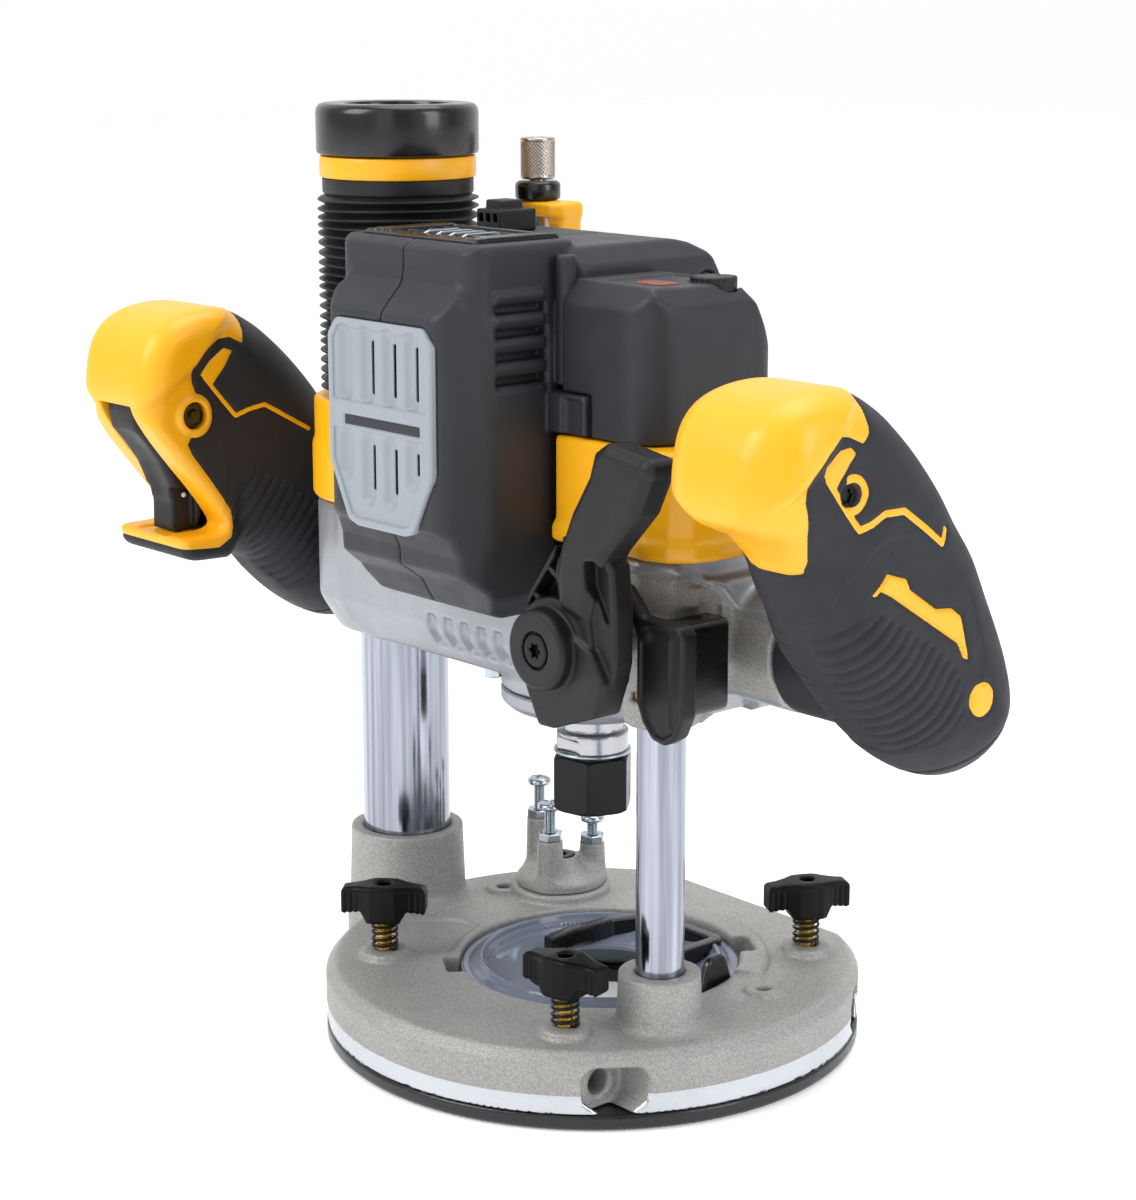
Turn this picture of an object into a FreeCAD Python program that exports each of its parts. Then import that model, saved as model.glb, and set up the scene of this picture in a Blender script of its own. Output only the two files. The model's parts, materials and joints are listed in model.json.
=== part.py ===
import FreeCAD, Part
import math
import os
import Sketcher

# Cordless plunge router, shown bare. Millimetres, +Z up. The origin is the spindle axis on the sole of the base.
# -Y is the front (vent grille), +X is the side of the plain handle, -X the side of the trigger handle.

V = FreeCAD.Vector
doc = FreeCAD.newDocument("plunge_router")
sheet = doc.addObject("Spreadsheet::Sheet", "dims")

DIMENSIONS = [
    # base
    ("base_radius", 89.0), ("sole_thick", 5.2), ("base_top", 25.4), ("base_flat_y", 74.0), ("base_chamfer", 3.0),
    ("window_radius", 46.5), ("window_x", 5.0), ("window_y", -1.0), ("sole_hole_radius", 36.0),
    ("lobe_radius", 21.5), ("guide_y", 53.0), ("guide_z", 13.5), ("guide_radius", 4.1), ("guide_half", 62.0),
    ("relief_radius", 7.5), ("sole_screw_pcr", 75.0), ("sole_screw_radius", 2.5),
    # columns
    ("tube_x", -86.4), ("tube_y", -10.4), ("tube_radius", 15.25), ("tube_bore", 13.4), ("tube_low", 20.0), ("tube_top", 285.5),
    ("post_x", 60.2), ("post_y", -26.1), ("post_radius", 7.6), ("post_bore", 5.6), ("post_low", 8.0), ("post_top", 190.0),
    ("tube_boss_low", 20.5), ("tube_boss_high", 19.5), ("tube_boss_top", 52.0),
    ("post_boss_low", 14.4), ("post_boss_high", 12.7), ("post_boss_top", 42.5), ("run_fit", 0.04),
    # dust port and bellows
    ("cap_radius", 27.25), ("cap_low", 285.5), ("cap_top", 302.6), ("port_radius", 17.5), ("port_floor", 2.0),
    ("band_radius", 26.2), ("band_low", 278.0), ("bellows_radius", 27.0), ("bellows_inner", 23.5), ("bellows_low", 206.4),
    # clamp knobs
    ("knob_low", 38.0), ("knob_high", 13.0), ("knob_span", 28.0), ("clamp_screw_radius", 3.0), ("clamp_boss_top", 28.0),
    ("clamp_left_x", -42.0), ("clamp_left_y", -55.0), ("clamp_front_x", 47.6), ("clamp_front_y", -54.0),
    ("clamp_right_x", 47.9), ("clamp_right_y", 53.0),
    # threaded bosses
    ("aux_radius", 2.5), ("aux_depth", 14.0), ("aux_top", 26.6), ("aux_right_x", 64.1), ("aux_right_y", 16.6),
    ("aux_left_x", -66.5), ("aux_left_y", 17.4),
    # turret
    ("turret_x", -52.0), ("turret_y", 31.7), ("turret_pad_radius", 17.8), ("turret_pad_top", 29.0), ("turret_radius", 15.6),
    ("turret_pcr", 11.5), ("turret_post_radius", 4.4), ("turret_post_one", 50.5), ("turret_post_two", 48.0), ("turret_post_three", 43.0),
    ("stop_one_top", 65.8), ("stop_two_top", 62.6), ("stop_three_top", 54.0),
    # carriage casting
    ("cast_low", 123.7), ("cast_top", 170.0), ("cast_front", -39.9), ("cast_lobe_radius", 29.5), ("cast_right", 84.0), ("cast_back", 44.0),
    ("nose_radius", 30.0), ("nose_low", 118.8), ("retainer_low", 111.2), ("motor_bore", 33.2),
    ("bearing_seat", 18.0), ("tube_bush_radius", 18.0), ("post_bush_radius", 10.0), ("handle_z", 148.0), ("handle_y", -2.0),
    ("flange_radius", 19.0),
    # yellow middle shell and black housings
    ("mid_top", 210.0), ("mid_lobe_top", 206.0), ("mid_wall", 3.0), ("mid_right", 91.0), ("mid_front", -49.5),
    ("tower_half", 33.0), ("box_half", 38.0), ("housing_wall", 2.6), ("housing_split", 0.04), ("control_right", 77.0),
    ("control_front", -47.5), ("control_back", 8.0), ("control_top", 256.0), ("control_low", 210.3),
    ("grille_half", 25.0), ("grille_low", 180.0), ("grille_top", 243.0), ("grille_front", -86.4), ("grille_thick", 2.6),
    # spindle and motor
    ("nut_flats", 24.0), ("nut_low", 76.0), ("nut_top", 94.5), ("collet_bore", 6.35), ("collet_outer", 7.6), ("collet_low", 77.0),
    ("collet_high", 31.0), ("shaft_radius", 10.0), ("shaft_top", 240.0), ("rotor_radius", 17.0), ("stator_inner", 18.0),
    ("stator_outer", 32.0), ("stator_low", 152.0), ("stator_high", 46.0),
    # plunge lock
    ("lever_z", 153.0), ("hub_radius", 12.0), ("lever_front", -77.0), ("lever_back", -61.5), ("lock_bolt_radius", 4.0),
    # depth stop
    ("rod_x", -63.5), ("rod_y", 31.7), ("rod_radius", 4.0), ("rod_low", 126.6), ("collar_low", 269.5), ("fine_low", 276.2),
    ("fine_top", 290.6), ("fine_radius", 5.9), ("collar_radius", 7.7),
    # handles
    ("grip_x", 143.5), ("grip_half", 21.5), ("core_radius", 15.0), ("horn_half", 23.5), ("trigger_half", 9.0),
]
for row, (name, value) in enumerate(DIMENSIONS, 1):
    sheet.set("A%d" % row, name)
    sheet.set("B%d" % row, repr(value))
    sheet.setAlias("B%d" % row, name)
doc.recompute()


class Size:
    """A size with the spreadsheet expression that gives it, so sums of sizes stay bound to the sheet."""

    def __init__(self, value, text):
        self.value, self.text = float(value), text

    @staticmethod
    def of(x):
        return x if isinstance(x, Size) else Size(x, "(%r)" % float(x))

    def join(self, other, sign, value):
        return Size(value, "(%s %s %s)" % (self.text, sign, Size.of(other).text))

    def __add__(self, o):
        return self.join(o, "+", self.value + Size.of(o).value)

    def __radd__(self, o):
        return Size.of(o) + self

    def __sub__(self, o):
        return self.join(o, "-", self.value - Size.of(o).value)

    def __rsub__(self, o):
        return Size.of(o) - self

    def __mul__(self, o):
        return self.join(o, "*", self.value * Size.of(o).value)

    def __rmul__(self, o):
        return Size.of(o) * self

    def __truediv__(self, o):
        return self.join(o, "/", self.value / Size.of(o).value)

    def __neg__(self):
        return Size.of(0) - self

    def __float__(self):
        return self.value


class Sheet:
    def __getattr__(self, name):
        return Size(float(sheet.get(name)), "dims." + name)


d = Sheet()
nodes = []


def bind(obj, prop, size):
    """Gives a property its size, bound to the sheet where the size comes from there."""
    if isinstance(size, Size):
        if "dims." in size.text:
            obj.setExpression(prop, size.text)
            return
        size = size.value
    setattr(obj, prop, float(size))


def place(obj, x=0, y=0, z=0, rot=None):
    obj.Placement = FreeCAD.Placement(V(float(x), float(y), float(z)), rot or FreeCAD.Rotation())
    for axis, size in (("x", x), ("y", y), ("z", z)):
        if isinstance(size, Size) and "dims." in size.text:
            obj.setExpression("Placement.Base." + axis, size.text)


ALONG_X = FreeCAD.Rotation(V(0, 1, 0), 90)
ALONG_Y = FreeCAD.Rotation(V(1, 0, 0), -90)


def turned(degrees):
    return FreeCAD.Rotation(V(0, 0, 1), degrees)


def node(obj, label):
    obj.Label = label
    nodes.append((label, obj))
    return obj


def body(label, x=0, y=0, z=0, rot=None):
    b = doc.addObject("PartDesign::Body", "Body_" + label)
    place(b, x, y, z, rot)
    node(b, label)
    return b


def origin_plane(b, role):
    return [o for o in b.Origin.OriginFeatures if o.Role == role][0]


def sketch(b, name, role, loops, lift=0):
    """A sketch of closed loops on one of the body's own planes. A loop is a list of corners, or (x, y, radius) for a circle. Every corner and radius is a driven constraint."""
    s = b.newObject("Sketcher::SketchObject", name)
    s.AttachmentSupport = (origin_plane(b, role), [""])
    s.MapMode = "FlatFace"
    s.AttachmentOffset = FreeCAD.Placement(V(0, 0, float(lift)), FreeCAD.Rotation())
    if isinstance(lift, Size) and "dims." in lift.text:
        s.setExpression("AttachmentOffset.Base.z", lift.text)

    def hold(kind, *args):
        size = Size.of(args[-1])
        n = s.addConstraint(Sketcher.Constraint(kind, *args[:-1], size.value))
        if "dims." in size.text:
            s.setExpression("Constraints[%d]" % n, size.text)

    for loop in loops:
        first = s.GeometryCount
        if isinstance(loop, tuple):
            x, y, r = loop
            s.addGeometry(Part.Circle(V(float(x), float(y), 0), V(0, 0, 1), float(r)), False)
            hold("Radius", first, r)
            hold("DistanceX", -1, 1, first, 3, x)
            hold("DistanceY", -1, 1, first, 3, y)
            continue
        n = len(loop)
        for i in range(n):
            (x1, y1), (x2, y2) = loop[i], loop[(i + 1) % n]
            s.addGeometry(Part.LineSegment(V(float(x1), float(y1), 0), V(float(x2), float(y2), 0)), False)
        for i in range(n):
            s.addConstraint(Sketcher.Constraint("Coincident", first + i, 2, first + (i + 1) % n, 1))
        for i, (x, y) in enumerate(loop):
            hold("DistanceX", -1, 1, first + i, 1, x)
            hold("DistanceY", -1, 1, first + i, 1, y)
    return s


def pad(b, name, role, loops, length, lift=0, reverse=False):
    s = sketch(b, name + "_sketch", role, loops, lift)
    p = b.newObject("PartDesign::Pad", name)
    p.Profile = s
    bind(p, "Length", length)
    p.Reversed = reverse
    s.Visibility = False
    return p


def pocket(b, name, role, loops, length, lift=0, reverse=False):
    s = sketch(b, name + "_sketch", role, loops, lift)
    p = b.newObject("PartDesign::Pocket", name)
    p.Profile = s
    bind(p, "Length", length)
    p.Reversed = reverse
    return p


def revolve(b, name, corners):
    """A turned piece: the corners are (radius, height) on the body's XZ plane, turned about its Z axis."""
    s = sketch(b, name + "_sketch", "XZ_Plane", [corners])
    r = b.newObject("PartDesign::Revolution", name)
    r.Profile = s
    r.ReferenceAxis = (s, ["V_Axis"])
    r.Angle = 360
    return r


def cyl(b, name, r, low, high, x=0, y=0, cut=False, rot=None, start=None):
    """A cylinder feature from low to high along Z, or along rot's axis from start."""
    f = b.newObject("PartDesign::%sCylinder" % ("Subtractive" if cut else "Additive"), name)
    bind(f, "Radius", r)
    bind(f, "Height", Size.of(high) - low)
    if rot is None:
        place(f, x, y, low)
    else:
        place(f, *start, rot=rot)
    return f


def cone(b, name, r1, r2, low, high, x=0, y=0, cut=False):
    f = b.newObject("PartDesign::%sCone" % ("Subtractive" if cut else "Additive"), name)
    bind(f, "Radius1", r1)
    bind(f, "Radius2", r2)
    bind(f, "Height", Size.of(high) - low)
    place(f, x, y, low)
    return f


def block(b, name, lo, hi, cut=False):
    f = b.newObject("PartDesign::%sBox" % ("Subtractive" if cut else "Additive"), name)
    for prop, a, c in zip(("Length", "Width", "Height"), lo, hi):
        bind(f, prop, Size.of(c) - a)
    place(f, *lo)
    return f


def dress(b, name, kind, feature, size, pick):
    """A fillet or chamfer on the edges that pick accepts, given each edge's box."""
    doc.recompute()
    names = ["Edge%d" % (i + 1) for i, e in enumerate(feature.Shape.Edges) if pick(e)]
    if not names:
        raise SystemExit("no edge for " + name)
    f = b.newObject("PartDesign::" + kind, name)
    f.Base = (feature, names)
    bind(f, "Radius" if kind == "Fillet" else "Size", size)
    doc.recompute()
    return f


def upright(e):
    bb = e.BoundBox
    return bb.XLength < 1e-4 and bb.YLength < 1e-4 and bb.ZLength > 1


def level_at(z, tol=0.01):
    return lambda e: abs(e.BoundBox.ZMin - z) < tol and abs(e.BoundBox.ZMax - z) < tol


def p_cyl(name, r, high, x=0, y=0, z=0, rot=None):
    f = doc.addObject("Part::Cylinder", name)
    bind(f, "Radius", r)
    bind(f, "Height", high)
    place(f, x, y, z, rot)
    return f


def p_box(name, lo, hi):
    f = doc.addObject("Part::Box", name)
    for prop, a, c in zip(("Length", "Width", "Height"), lo, hi):
        bind(f, prop, Size.of(c) - a)
    place(f, *lo)
    return f


def p_cut(name, base, tools):
    out = base
    for i, t in enumerate(tools):
        c = doc.addObject("Part::Cut", "%s_%d" % (name, i))
        c.Base, c.Tool = out, t
        out = c
    return out


def p_fuse(name, shapes):
    f = doc.addObject("Part::MultiFuse", name)
    f.Shapes = shapes
    return f


def feature(label, shape):
    f = doc.addObject("Part::Feature", "Feature_" + label)
    f.Shape = shape
    f.Placement = FreeCAD.Placement()
    return node(f, label)


# ---------------------------------------------------------------- base
sole = body("sub_base_plate")
pad(sole, "plate", "XY_Plane", [(0, 0, d.base_radius), (0, 0, d.sole_hole_radius)], d.sole_thick)
block(sole, "plate_flat", (-70, d.base_flat_y, -1), (70, 100, d.sole_thick + 1), cut=True)
for i, a in enumerate((0, 120, 240)):
    cx, cy = math.cos(math.radians(a)), math.sin(math.radians(a))
    cyl(sole, "screw_hole_%d" % i, d.sole_screw_radius, -1, d.sole_thick + 1, d.sole_screw_pcr * cx, d.sole_screw_pcr * cy, cut=True)
    cyl(sole, "screw_sink_%d" % i, 4.9, -1, 3.2, d.sole_screw_pcr * cx, d.sole_screw_pcr * cy, cut=True)

cast = body("base_casting")
disc = pad(cast, "disc", "XY_Plane", [(0, 0, d.base_radius)], d.base_top - d.sole_thick, lift=d.sole_thick)
dress(cast, "rim_chamfer", "Chamfer", disc, d.base_chamfer, level_at(float(d.base_top)))
block(cast, "back_flat", (-70, d.base_flat_y, 0), (70, 100, 40), cut=True)
cyl(cast, "window", d.window_radius, 0, 40, d.window_x, d.window_y, cut=True)
cyl(cast, "tube_lobe", d.lobe_radius, d.sole_thick, d.base_top, d.tube_x, d.tube_y)
cone(cast, "tube_boss", d.tube_boss_low, d.tube_boss_high, d.base_top - 1, d.tube_boss_top, d.tube_x, d.tube_y)
cone(cast, "post_boss", d.post_boss_low, d.post_boss_high, d.sole_thick, d.post_boss_top, d.post_x, d.post_y)
cyl(cast, "turret_pad", d.turret_pad_radius, d.base_top - 1, d.turret_pad_top, d.turret_x, d.turret_y)
for side, x, y in (("left", d.clamp_left_x, d.clamp_left_y), ("front", d.clamp_front_x, d.clamp_front_y), ("right", d.clamp_right_x, d.clamp_right_y)):
    cyl(cast, "clamp_boss_" + side, 8.5, d.base_top - 1, d.clamp_boss_top, x, y)
for side, x, y in (("right", d.aux_right_x, d.aux_right_y), ("left", d.aux_left_x, d.aux_left_y)):
    cyl(cast, "aux_boss_" + side, 6.5, d.base_top - 1, d.aux_top, x, y)
    cyl(cast, "aux_hole_" + side, d.aux_radius, d.aux_top - d.aux_depth, d.aux_top + 5, x, y, cut=True)
# guide rod bores along X under the clamp screws, opening into cast reliefs at the rim
for side, y in (("front", -d.guide_y), ("back", d.guide_y)):
    cyl(cast, "guide_bore_" + side, d.guide_radius, 0, 2 * d.guide_half + 2, cut=True, rot=ALONG_X, start=(-d.guide_half - 1, y, d.guide_z))
    cyl(cast, "relief_plus_" + side, d.relief_radius, 0, 40, cut=True, rot=ALONG_X, start=(d.guide_half, y, d.guide_z))
    cyl(cast, "relief_minus_" + side, d.relief_radius, 0, 40, cut=True, rot=ALONG_X, start=(-d.guide_half - 40, y, d.guide_z))
for side, x, y in (("left", d.clamp_left_x, d.clamp_left_y), ("front", d.clamp_front_x, d.clamp_front_y), ("right", d.clamp_right_x, d.clamp_right_y)):
    cyl(cast, "clamp_hole_" + side, d.clamp_screw_radius + 0.05, d.guide_z, 40, x, y, cut=True)
# column sockets, and the chip passage from the window to the foot of the dust tube
cyl(cast, "tube_socket", d.tube_radius, d.tube_low, 60, d.tube_x, d.tube_y, cut=True)
cyl(cast, "tube_throat", d.tube_bore, 7.5, d.tube_low + 1, d.tube_x, d.tube_y, cut=True)
block(cast, "chip_passage", (d.tube_x, d.tube_y - 9, 7.5), (-36, d.tube_y + 9, 19.5), cut=True)
cyl(cast, "post_socket", d.post_radius, d.post_low, 60, d.post_x, d.post_y, cut=True)
cyl(cast, "turret_hole", 3.0, 12, 40, d.turret_x, d.turret_y, cut=True)
for i, a in enumerate((0, 120, 240)):
    cx, cy = math.cos(math.radians(a)), math.sin(math.radians(a))
    cyl(cast, "sole_screw_hole_%d" % i, d.sole_screw_radius, 0, 17, d.sole_screw_pcr * cx, d.sole_screw_pcr * cy, cut=True)
for i, a in enumerate((-89.8, -7.7)):
    f = cyl(cast, "witness_slit_%d" % i, 0.9, d.sole_thick + 6, 40, d.base_radius * math.cos(math.radians(a)), d.base_radius * math.sin(math.radians(a)), cut=True)

screws = []
for i, a in enumerate((0, 120, 240)):
    cx, cy = math.cos(math.radians(a)), math.sin(math.radians(a))
    screws.append(p_cyl("sole_head_%d" % i, 4.9, 2.9, d.sole_screw_pcr * cx, d.sole_screw_pcr * cy, 0.3))
    screws.append(p_cyl("sole_shank_%d" % i, d.sole_screw_radius, 13.5, d.sole_screw_pcr * cx, d.sole_screw_pcr * cy, 3.2))
node(p_fuse("sole_screws", screws), "sub_base_screws")

# ---------------------------------------------------------------- columns and dust port
tube = body("dust_tube", d.tube_x, d.tube_y)
pad(tube, "wall", "XY_Plane", [(0, 0, d.tube_radius), (0, 0, d.tube_bore)], d.tube_top - d.tube_low, lift=d.tube_low)

post = body("guide_column", d.post_x, d.post_y)
revolve(post, "turned", [(0, d.post_low), (d.post_radius, d.post_low), (d.post_radius, d.post_top - 1), (d.post_radius - 1, d.post_top),
                         (d.post_bore, d.post_top), (d.post_bore, d.post_low + 6), (0, d.post_low + 6)])

cap = body("dust_port_collar", d.tube_x, d.tube_y)
revolve(cap, "turned", [(d.tube_bore, d.cap_low), (d.cap_radius - 0.8, d.cap_low), (d.cap_radius, d.cap_low + 0.8), (d.cap_radius, d.cap_top - 2.2),
                        (d.cap_radius - 0.7, d.cap_top - 0.6), (d.cap_radius - 2.4, d.cap_top), (d.port_radius, d.cap_top), (d.port_radius, d.cap_low + d.port_floor), (d.tube_bore, d.cap_low + d.port_floor)])

band = body("dust_port_band", d.tube_x, d.tube_y)
revolve(band, "turned", [(d.tube_radius, d.band_low), (d.band_radius - 0.6, d.band_low), (d.band_radius, d.band_low + 0.6), (d.band_radius, d.cap_low - 0.6),
                         (d.band_radius - 0.6, d.cap_low), (d.tube_radius, d.cap_low)])

bel = body("dust_bellows", d.tube_x, d.tube_y)
pleats, outline_out, outline_in = 12, [], []
for i in range(pleats):
    step = (d.band_low - 5 - d.bellows_low) / float(pleats)
    outline_out += [(d.bellows_inner, d.bellows_low + step * i), (d.bellows_radius, d.bellows_low + step * (i + 0.5))]
outline_out += [(d.bellows_inner, d.band_low - 5), (d.bellows_inner + 1.6, d.band_low - 5), (d.bellows_inner + 1.6, d.band_low)]
inner = [(d.bellows_inner - 1.6, d.band_low)]
for i in reversed(range(pleats)):
    step = (d.band_low - 5 - d.bellows_low) / float(pleats)
    inner += [(d.bellows_inner - 1.6, d.bellows_low + step * (i + 1)), (d.bellows_radius - 1.6, d.bellows_low + step * (i + 0.5))]
inner += [(d.bellows_inner - 1.6, d.bellows_low)]
revolve(bel, "pleated", outline_out + inner)

shroud = body("dust_shroud", d.window_x, d.window_y)
revolve(shroud, "dish", [(d.window_radius - 2.5, d.sole_thick + 0.05), (d.window_radius - 0.1, d.sole_thick + 0.05), (d.window_radius - 0.1, d.base_top + 0.6),
                         (d.window_radius - 6, d.base_top + 2.2), (31, d.base_top - 1), (31, d.base_top - 3), (d.window_radius - 6, d.base_top - 0.2), (d.window_radius - 2.5, d.base_top - 1.8)])
cyl(shroud, "post_notch", d.post_boss_low + 0.5, 0, 60, d.post_x - d.window_x, d.post_y - d.window_y, cut=True)
block(shroud, "chip_mouth", (-70, d.tube_y - d.window_y - 9, 7), (-25, d.tube_y - d.window_y + 9, 20), cut=True)

spring = body("return_spring", d.post_x, d.post_y)
pad(spring, "coil_envelope", "XY_Plane", [(0, 0, d.post_bore - 0.5), (0, 0, d.post_bore - 1.7)], 231.0, lift=d.post_low + 6.3)

coils = []
for side, x, y in (("left", d.clamp_left_x, d.clamp_left_y), ("front", d.clamp_front_x, d.clamp_front_y), ("right", d.clamp_right_x, d.clamp_right_y)):
    for k in range(4):
        t = doc.addObject("Part::Torus", "clamp_coil_%s_%d" % (side, k))
        t.Radius1, t.Radius2 = 4.3, 0.55
        place(t, x, y, d.clamp_boss_top + 0.9 + 2.55 * k)
        coils.append(t)
comp = doc.addObject("Part::Compound", "clamp_coils")
comp.Links = coils
node(comp, "clamp_springs")

# ---------------------------------------------------------------- clamp knobs, one body each
for side, x, y, ang in (("left", d.clamp_left_x, d.clamp_left_y, 44), ("front", d.clamp_front_x, d.clamp_front_y, 12), ("right", d.clamp_right_x, d.clamp_right_y, 62)):
    k = body("clamp_knob_" + side, x, y, 0, turned(ang))
    half = d.knob_span / 2
    pad(k, "wings", "XY_Plane", [[(-half + 1, -3.6), (-6, -6.2), (6, -6.2), (half - 1, -3.6), (half, -2.4), (half, 2.4), (half - 1, 3.6), (6, 6.2), (-6, 6.2), (-half + 1, 3.6), (-half, 2.4), (-half, -2.4)]],
        d.knob_high - 3, lift=d.knob_low + 3)
    cyl(k, "hub", 6.2, d.knob_low, d.knob_low + 5)
    cyl(k, "dimple", 2.2, d.knob_low + d.knob_high - 1, d.knob_low + d.knob_high + 1, cut=True)
    cyl(k, "screw_seat", d.clamp_screw_radius, d.knob_low - 1, d.knob_low + 6, cut=True)
    s = body("clamp_screw_" + side, x, y)
    revolve(s, "turned", [(0, 18.2), (d.clamp_screw_radius - 0.8, 18.2), (d.clamp_screw_radius, 19.0), (d.clamp_screw_radius, d.knob_low + 6), (0, d.knob_low + 6)])

# ---------------------------------------------------------------- turret stop
piv = body("turret_pivot_screw", d.turret_x, d.turret_y)
revolve(piv, "turned", [(0, 12.2), (3.0, 12.2), (3.0, d.turret_pad_top + 7.9), (4.8, d.turret_pad_top + 7.9), (4.8, d.turret_pad_top + 10.4), (0, d.turret_pad_top + 10.4)])

tur = body("turret_stop", d.turret_x, d.turret_y)
revolve(tur, "dome", [(3.05, d.turret_pad_top + 0.3), (d.turret_radius, d.turret_pad_top + 0.3), (d.turret_radius, d.turret_pad_top + 3.6), (d.turret_radius - 2.4, d.turret_pad_top + 6.4),
                      (8.2, d.turret_pad_top + 7.6), (3.05, d.turret_pad_top + 7.6)])
stops = (("one", 180, d.turret_post_one, d.stop_one_top), ("two", 300, d.turret_post_two, d.stop_two_top), ("three", 60, d.turret_post_three, d.stop_three_top))
for tag, a, top, head in stops:
    cx, cy = math.cos(math.radians(a)), math.sin(math.radians(a))
    cone(tur, "post_" + tag, d.turret_post_radius + 0.5, d.turret_post_radius, d.turret_pad_top + 1, top, d.turret_pcr * cx, d.turret_pcr * cy)
for tag, a, top, head in stops:
    cx, cy = math.cos(math.radians(a)), math.sin(math.radians(a))
    cyl(tur, "thread_" + tag, 2.0, d.turret_pad_top + 3, 70, d.turret_pcr * cx, d.turret_pcr * cy, cut=True)
cyl(tur, "pivot_well", 5.1, d.turret_pad_top + 7.6, 70, cut=True)
heads, nuts = [], []
for tag, a, top, head in stops:
    x, y = d.turret_x + d.turret_pcr * math.cos(math.radians(a)), d.turret_y + d.turret_pcr * math.sin(math.radians(a))
    shank = p_cyl("stop_shank_" + tag, 2.0, head - 2 - (top - 10.8), x, y, top - 10.8)
    pan = p_cyl("stop_head_" + tag, 3.7, 3.2, x, y, head - 3.2)
    slot = p_box("stop_slot_" + tag, (x - 5, y - 0.5, head - 1.1), (x + 5, y + 0.5, head + 1))
    heads.append(p_cut("stop_cut_" + tag, p_fuse("stop_screw_" + tag, [shank, pan]), [slot]))
    hexa = doc.addObject("Part::Prism", "stop_nut_" + tag)
    hexa.Polygon = 6
    hexa.Circumradius = 4.0
    bind(hexa, "Height", 3.0)
    place(hexa, x, y, top + 0.05)
    nuts.append(p_cut("stop_nut_cut_" + tag, hexa, [p_cyl("stop_nut_bore_" + tag, 2.0, 6, x, y, top - 1)]))
c1 = doc.addObject("Part::Compound", "stop_heads")
c1.Links = heads
node(c1, "turret_stop_screws")
c2 = doc.addObject("Part::Compound", "stop_nuts")
c2.Links = nuts
node(c2, "turret_lock_nuts")

# ---------------------------------------------------------------- carriage casting
case = body("carriage_casting")
outline = [(d.tube_x, d.cast_front), (36, d.cast_front), (41, -46.0), (70, -46.0), (80, -41.0), (d.cast_right, -33.0), (d.cast_right, 22), (78, 32), (60, d.cast_back),
           (-70, d.cast_back), (-78, 38), (-86.4, 19.1)]
block_feature = pad(case, "block", "XY_Plane", [outline], d.cast_top - d.cast_low, lift=d.cast_low)
dress(case, "under_bevel", "Chamfer", block_feature, 6.0, level_at(float(d.cast_low)))
cyl(case, "tube_lobe", d.cast_lobe_radius, d.cast_low + 6, d.cast_top, d.tube_x, d.tube_y)
cone(case, "tube_lobe_foot", d.cast_lobe_radius - 6, d.cast_lobe_radius, d.cast_low, d.cast_low + 6, d.tube_x, d.tube_y)
block(case, "right_shoulder", (41, -46.0, d.cast_top - 1), (d.cast_right - 4, 22, d.cast_top + 7))
cyl(case, "nose", d.nose_radius, d.nose_low, d.cast_low + 3)
cyl(case, "post_sleeve", 14.0, 118.5, d.cast_low + 3, d.post_x, d.post_y)
cyl(case, "left_flange", d.flange_radius, 0, 30, rot=ALONG_X, start=(-117.5, d.handle_y, d.handle_z))
cyl(case, "right_flange", d.flange_radius, 0, 22, rot=ALONG_X, start=(d.cast_right - 6, d.handle_y, d.handle_z))
cyl(case, "lock_boss", 10.5, 0, 22, rot=ALONG_Y, start=(d.post_x, d.lever_back + 0.5, d.lever_z))
# motor bore, bearing seat and column bores
cyl(case, "motor_bore", d.motor_bore, 146, 180, cut=True)
cyl(case, "bearing_bore", d.bearing_seat, 110, 150, cut=True)
cyl(case, "tube_bore", d.tube_bush_radius, 110, 180, d.tube_x, d.tube_y, cut=True)
cyl(case, "post_bore", d.post_bush_radius, 110, 180, d.post_x, d.post_y, cut=True)
cyl(case, "rod_bore", d.rod_radius + d.run_fit, 110, 180, d.rod_x, d.rod_y, cut=True)
cyl(case, "lock_bore", d.lock_bolt_radius + 0.05, 0, 40, cut=True, rot=ALONG_Y, start=(d.post_x, d.lever_back - 2, d.lever_z))
block(case, "button_pocket", (79.3, -60, 131.6), (110, -22.5, 162.6), cut=True)
cyl(case, "left_stub_bore", 13.1, 0, 12, cut=True, rot=ALONG_X, start=(-120, d.handle_y, d.handle_z))
cyl(case, "right_stub_bore", 13.1, 0, 12, cut=True, rot=ALONG_X, start=(d.cast_right + 4.1, d.handle_y, d.handle_z))

bushes = []
for tag, r_out, r_in, x, y, spans in (("tube_bush", d.tube_bush_radius, d.tube_radius + d.run_fit, d.tube_x, d.tube_y, ((126, 140), (156, 170))),
                                      ("post_bush", d.post_bush_radius, d.post_radius + d.run_fit, d.post_x, d.post_y, ((119.5, 134), (160, 174)))):
    for i, (lo, hi) in enumerate(spans):
        bushes.append(p_cut("%s_%d" % (tag, i), p_cyl("%s_outer_%d" % (tag, i), r_out, hi - lo, x, y, lo), [p_cyl("%s_inner_%d" % (tag, i), r_in, hi - lo + 2, x, y, lo - 1)]))
comp = doc.addObject("Part::Compound", "all_bushes")
comp.Links = bushes
node(comp, "column_bushes")

ret = body("bearing_retainer")
revolve(ret, "turned", [(11.2, d.retainer_low), (d.nose_radius - 3, d.retainer_low), (d.nose_radius, d.retainer_low + 2.5), (d.nose_radius, d.nose_low - 0.6), (d.nose_radius - 1.5, d.nose_low),
                        (d.bearing_seat, d.nose_low), (d.bearing_seat, 127.8), (11.2, 127.8)])
low_bearing = body("lower_bearing")
revolve(low_bearing, "turned", [(d.shaft_radius, 128), (d.bearing_seat, 128), (d.bearing_seat, 142), (d.shaft_radius, 142)])

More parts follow.
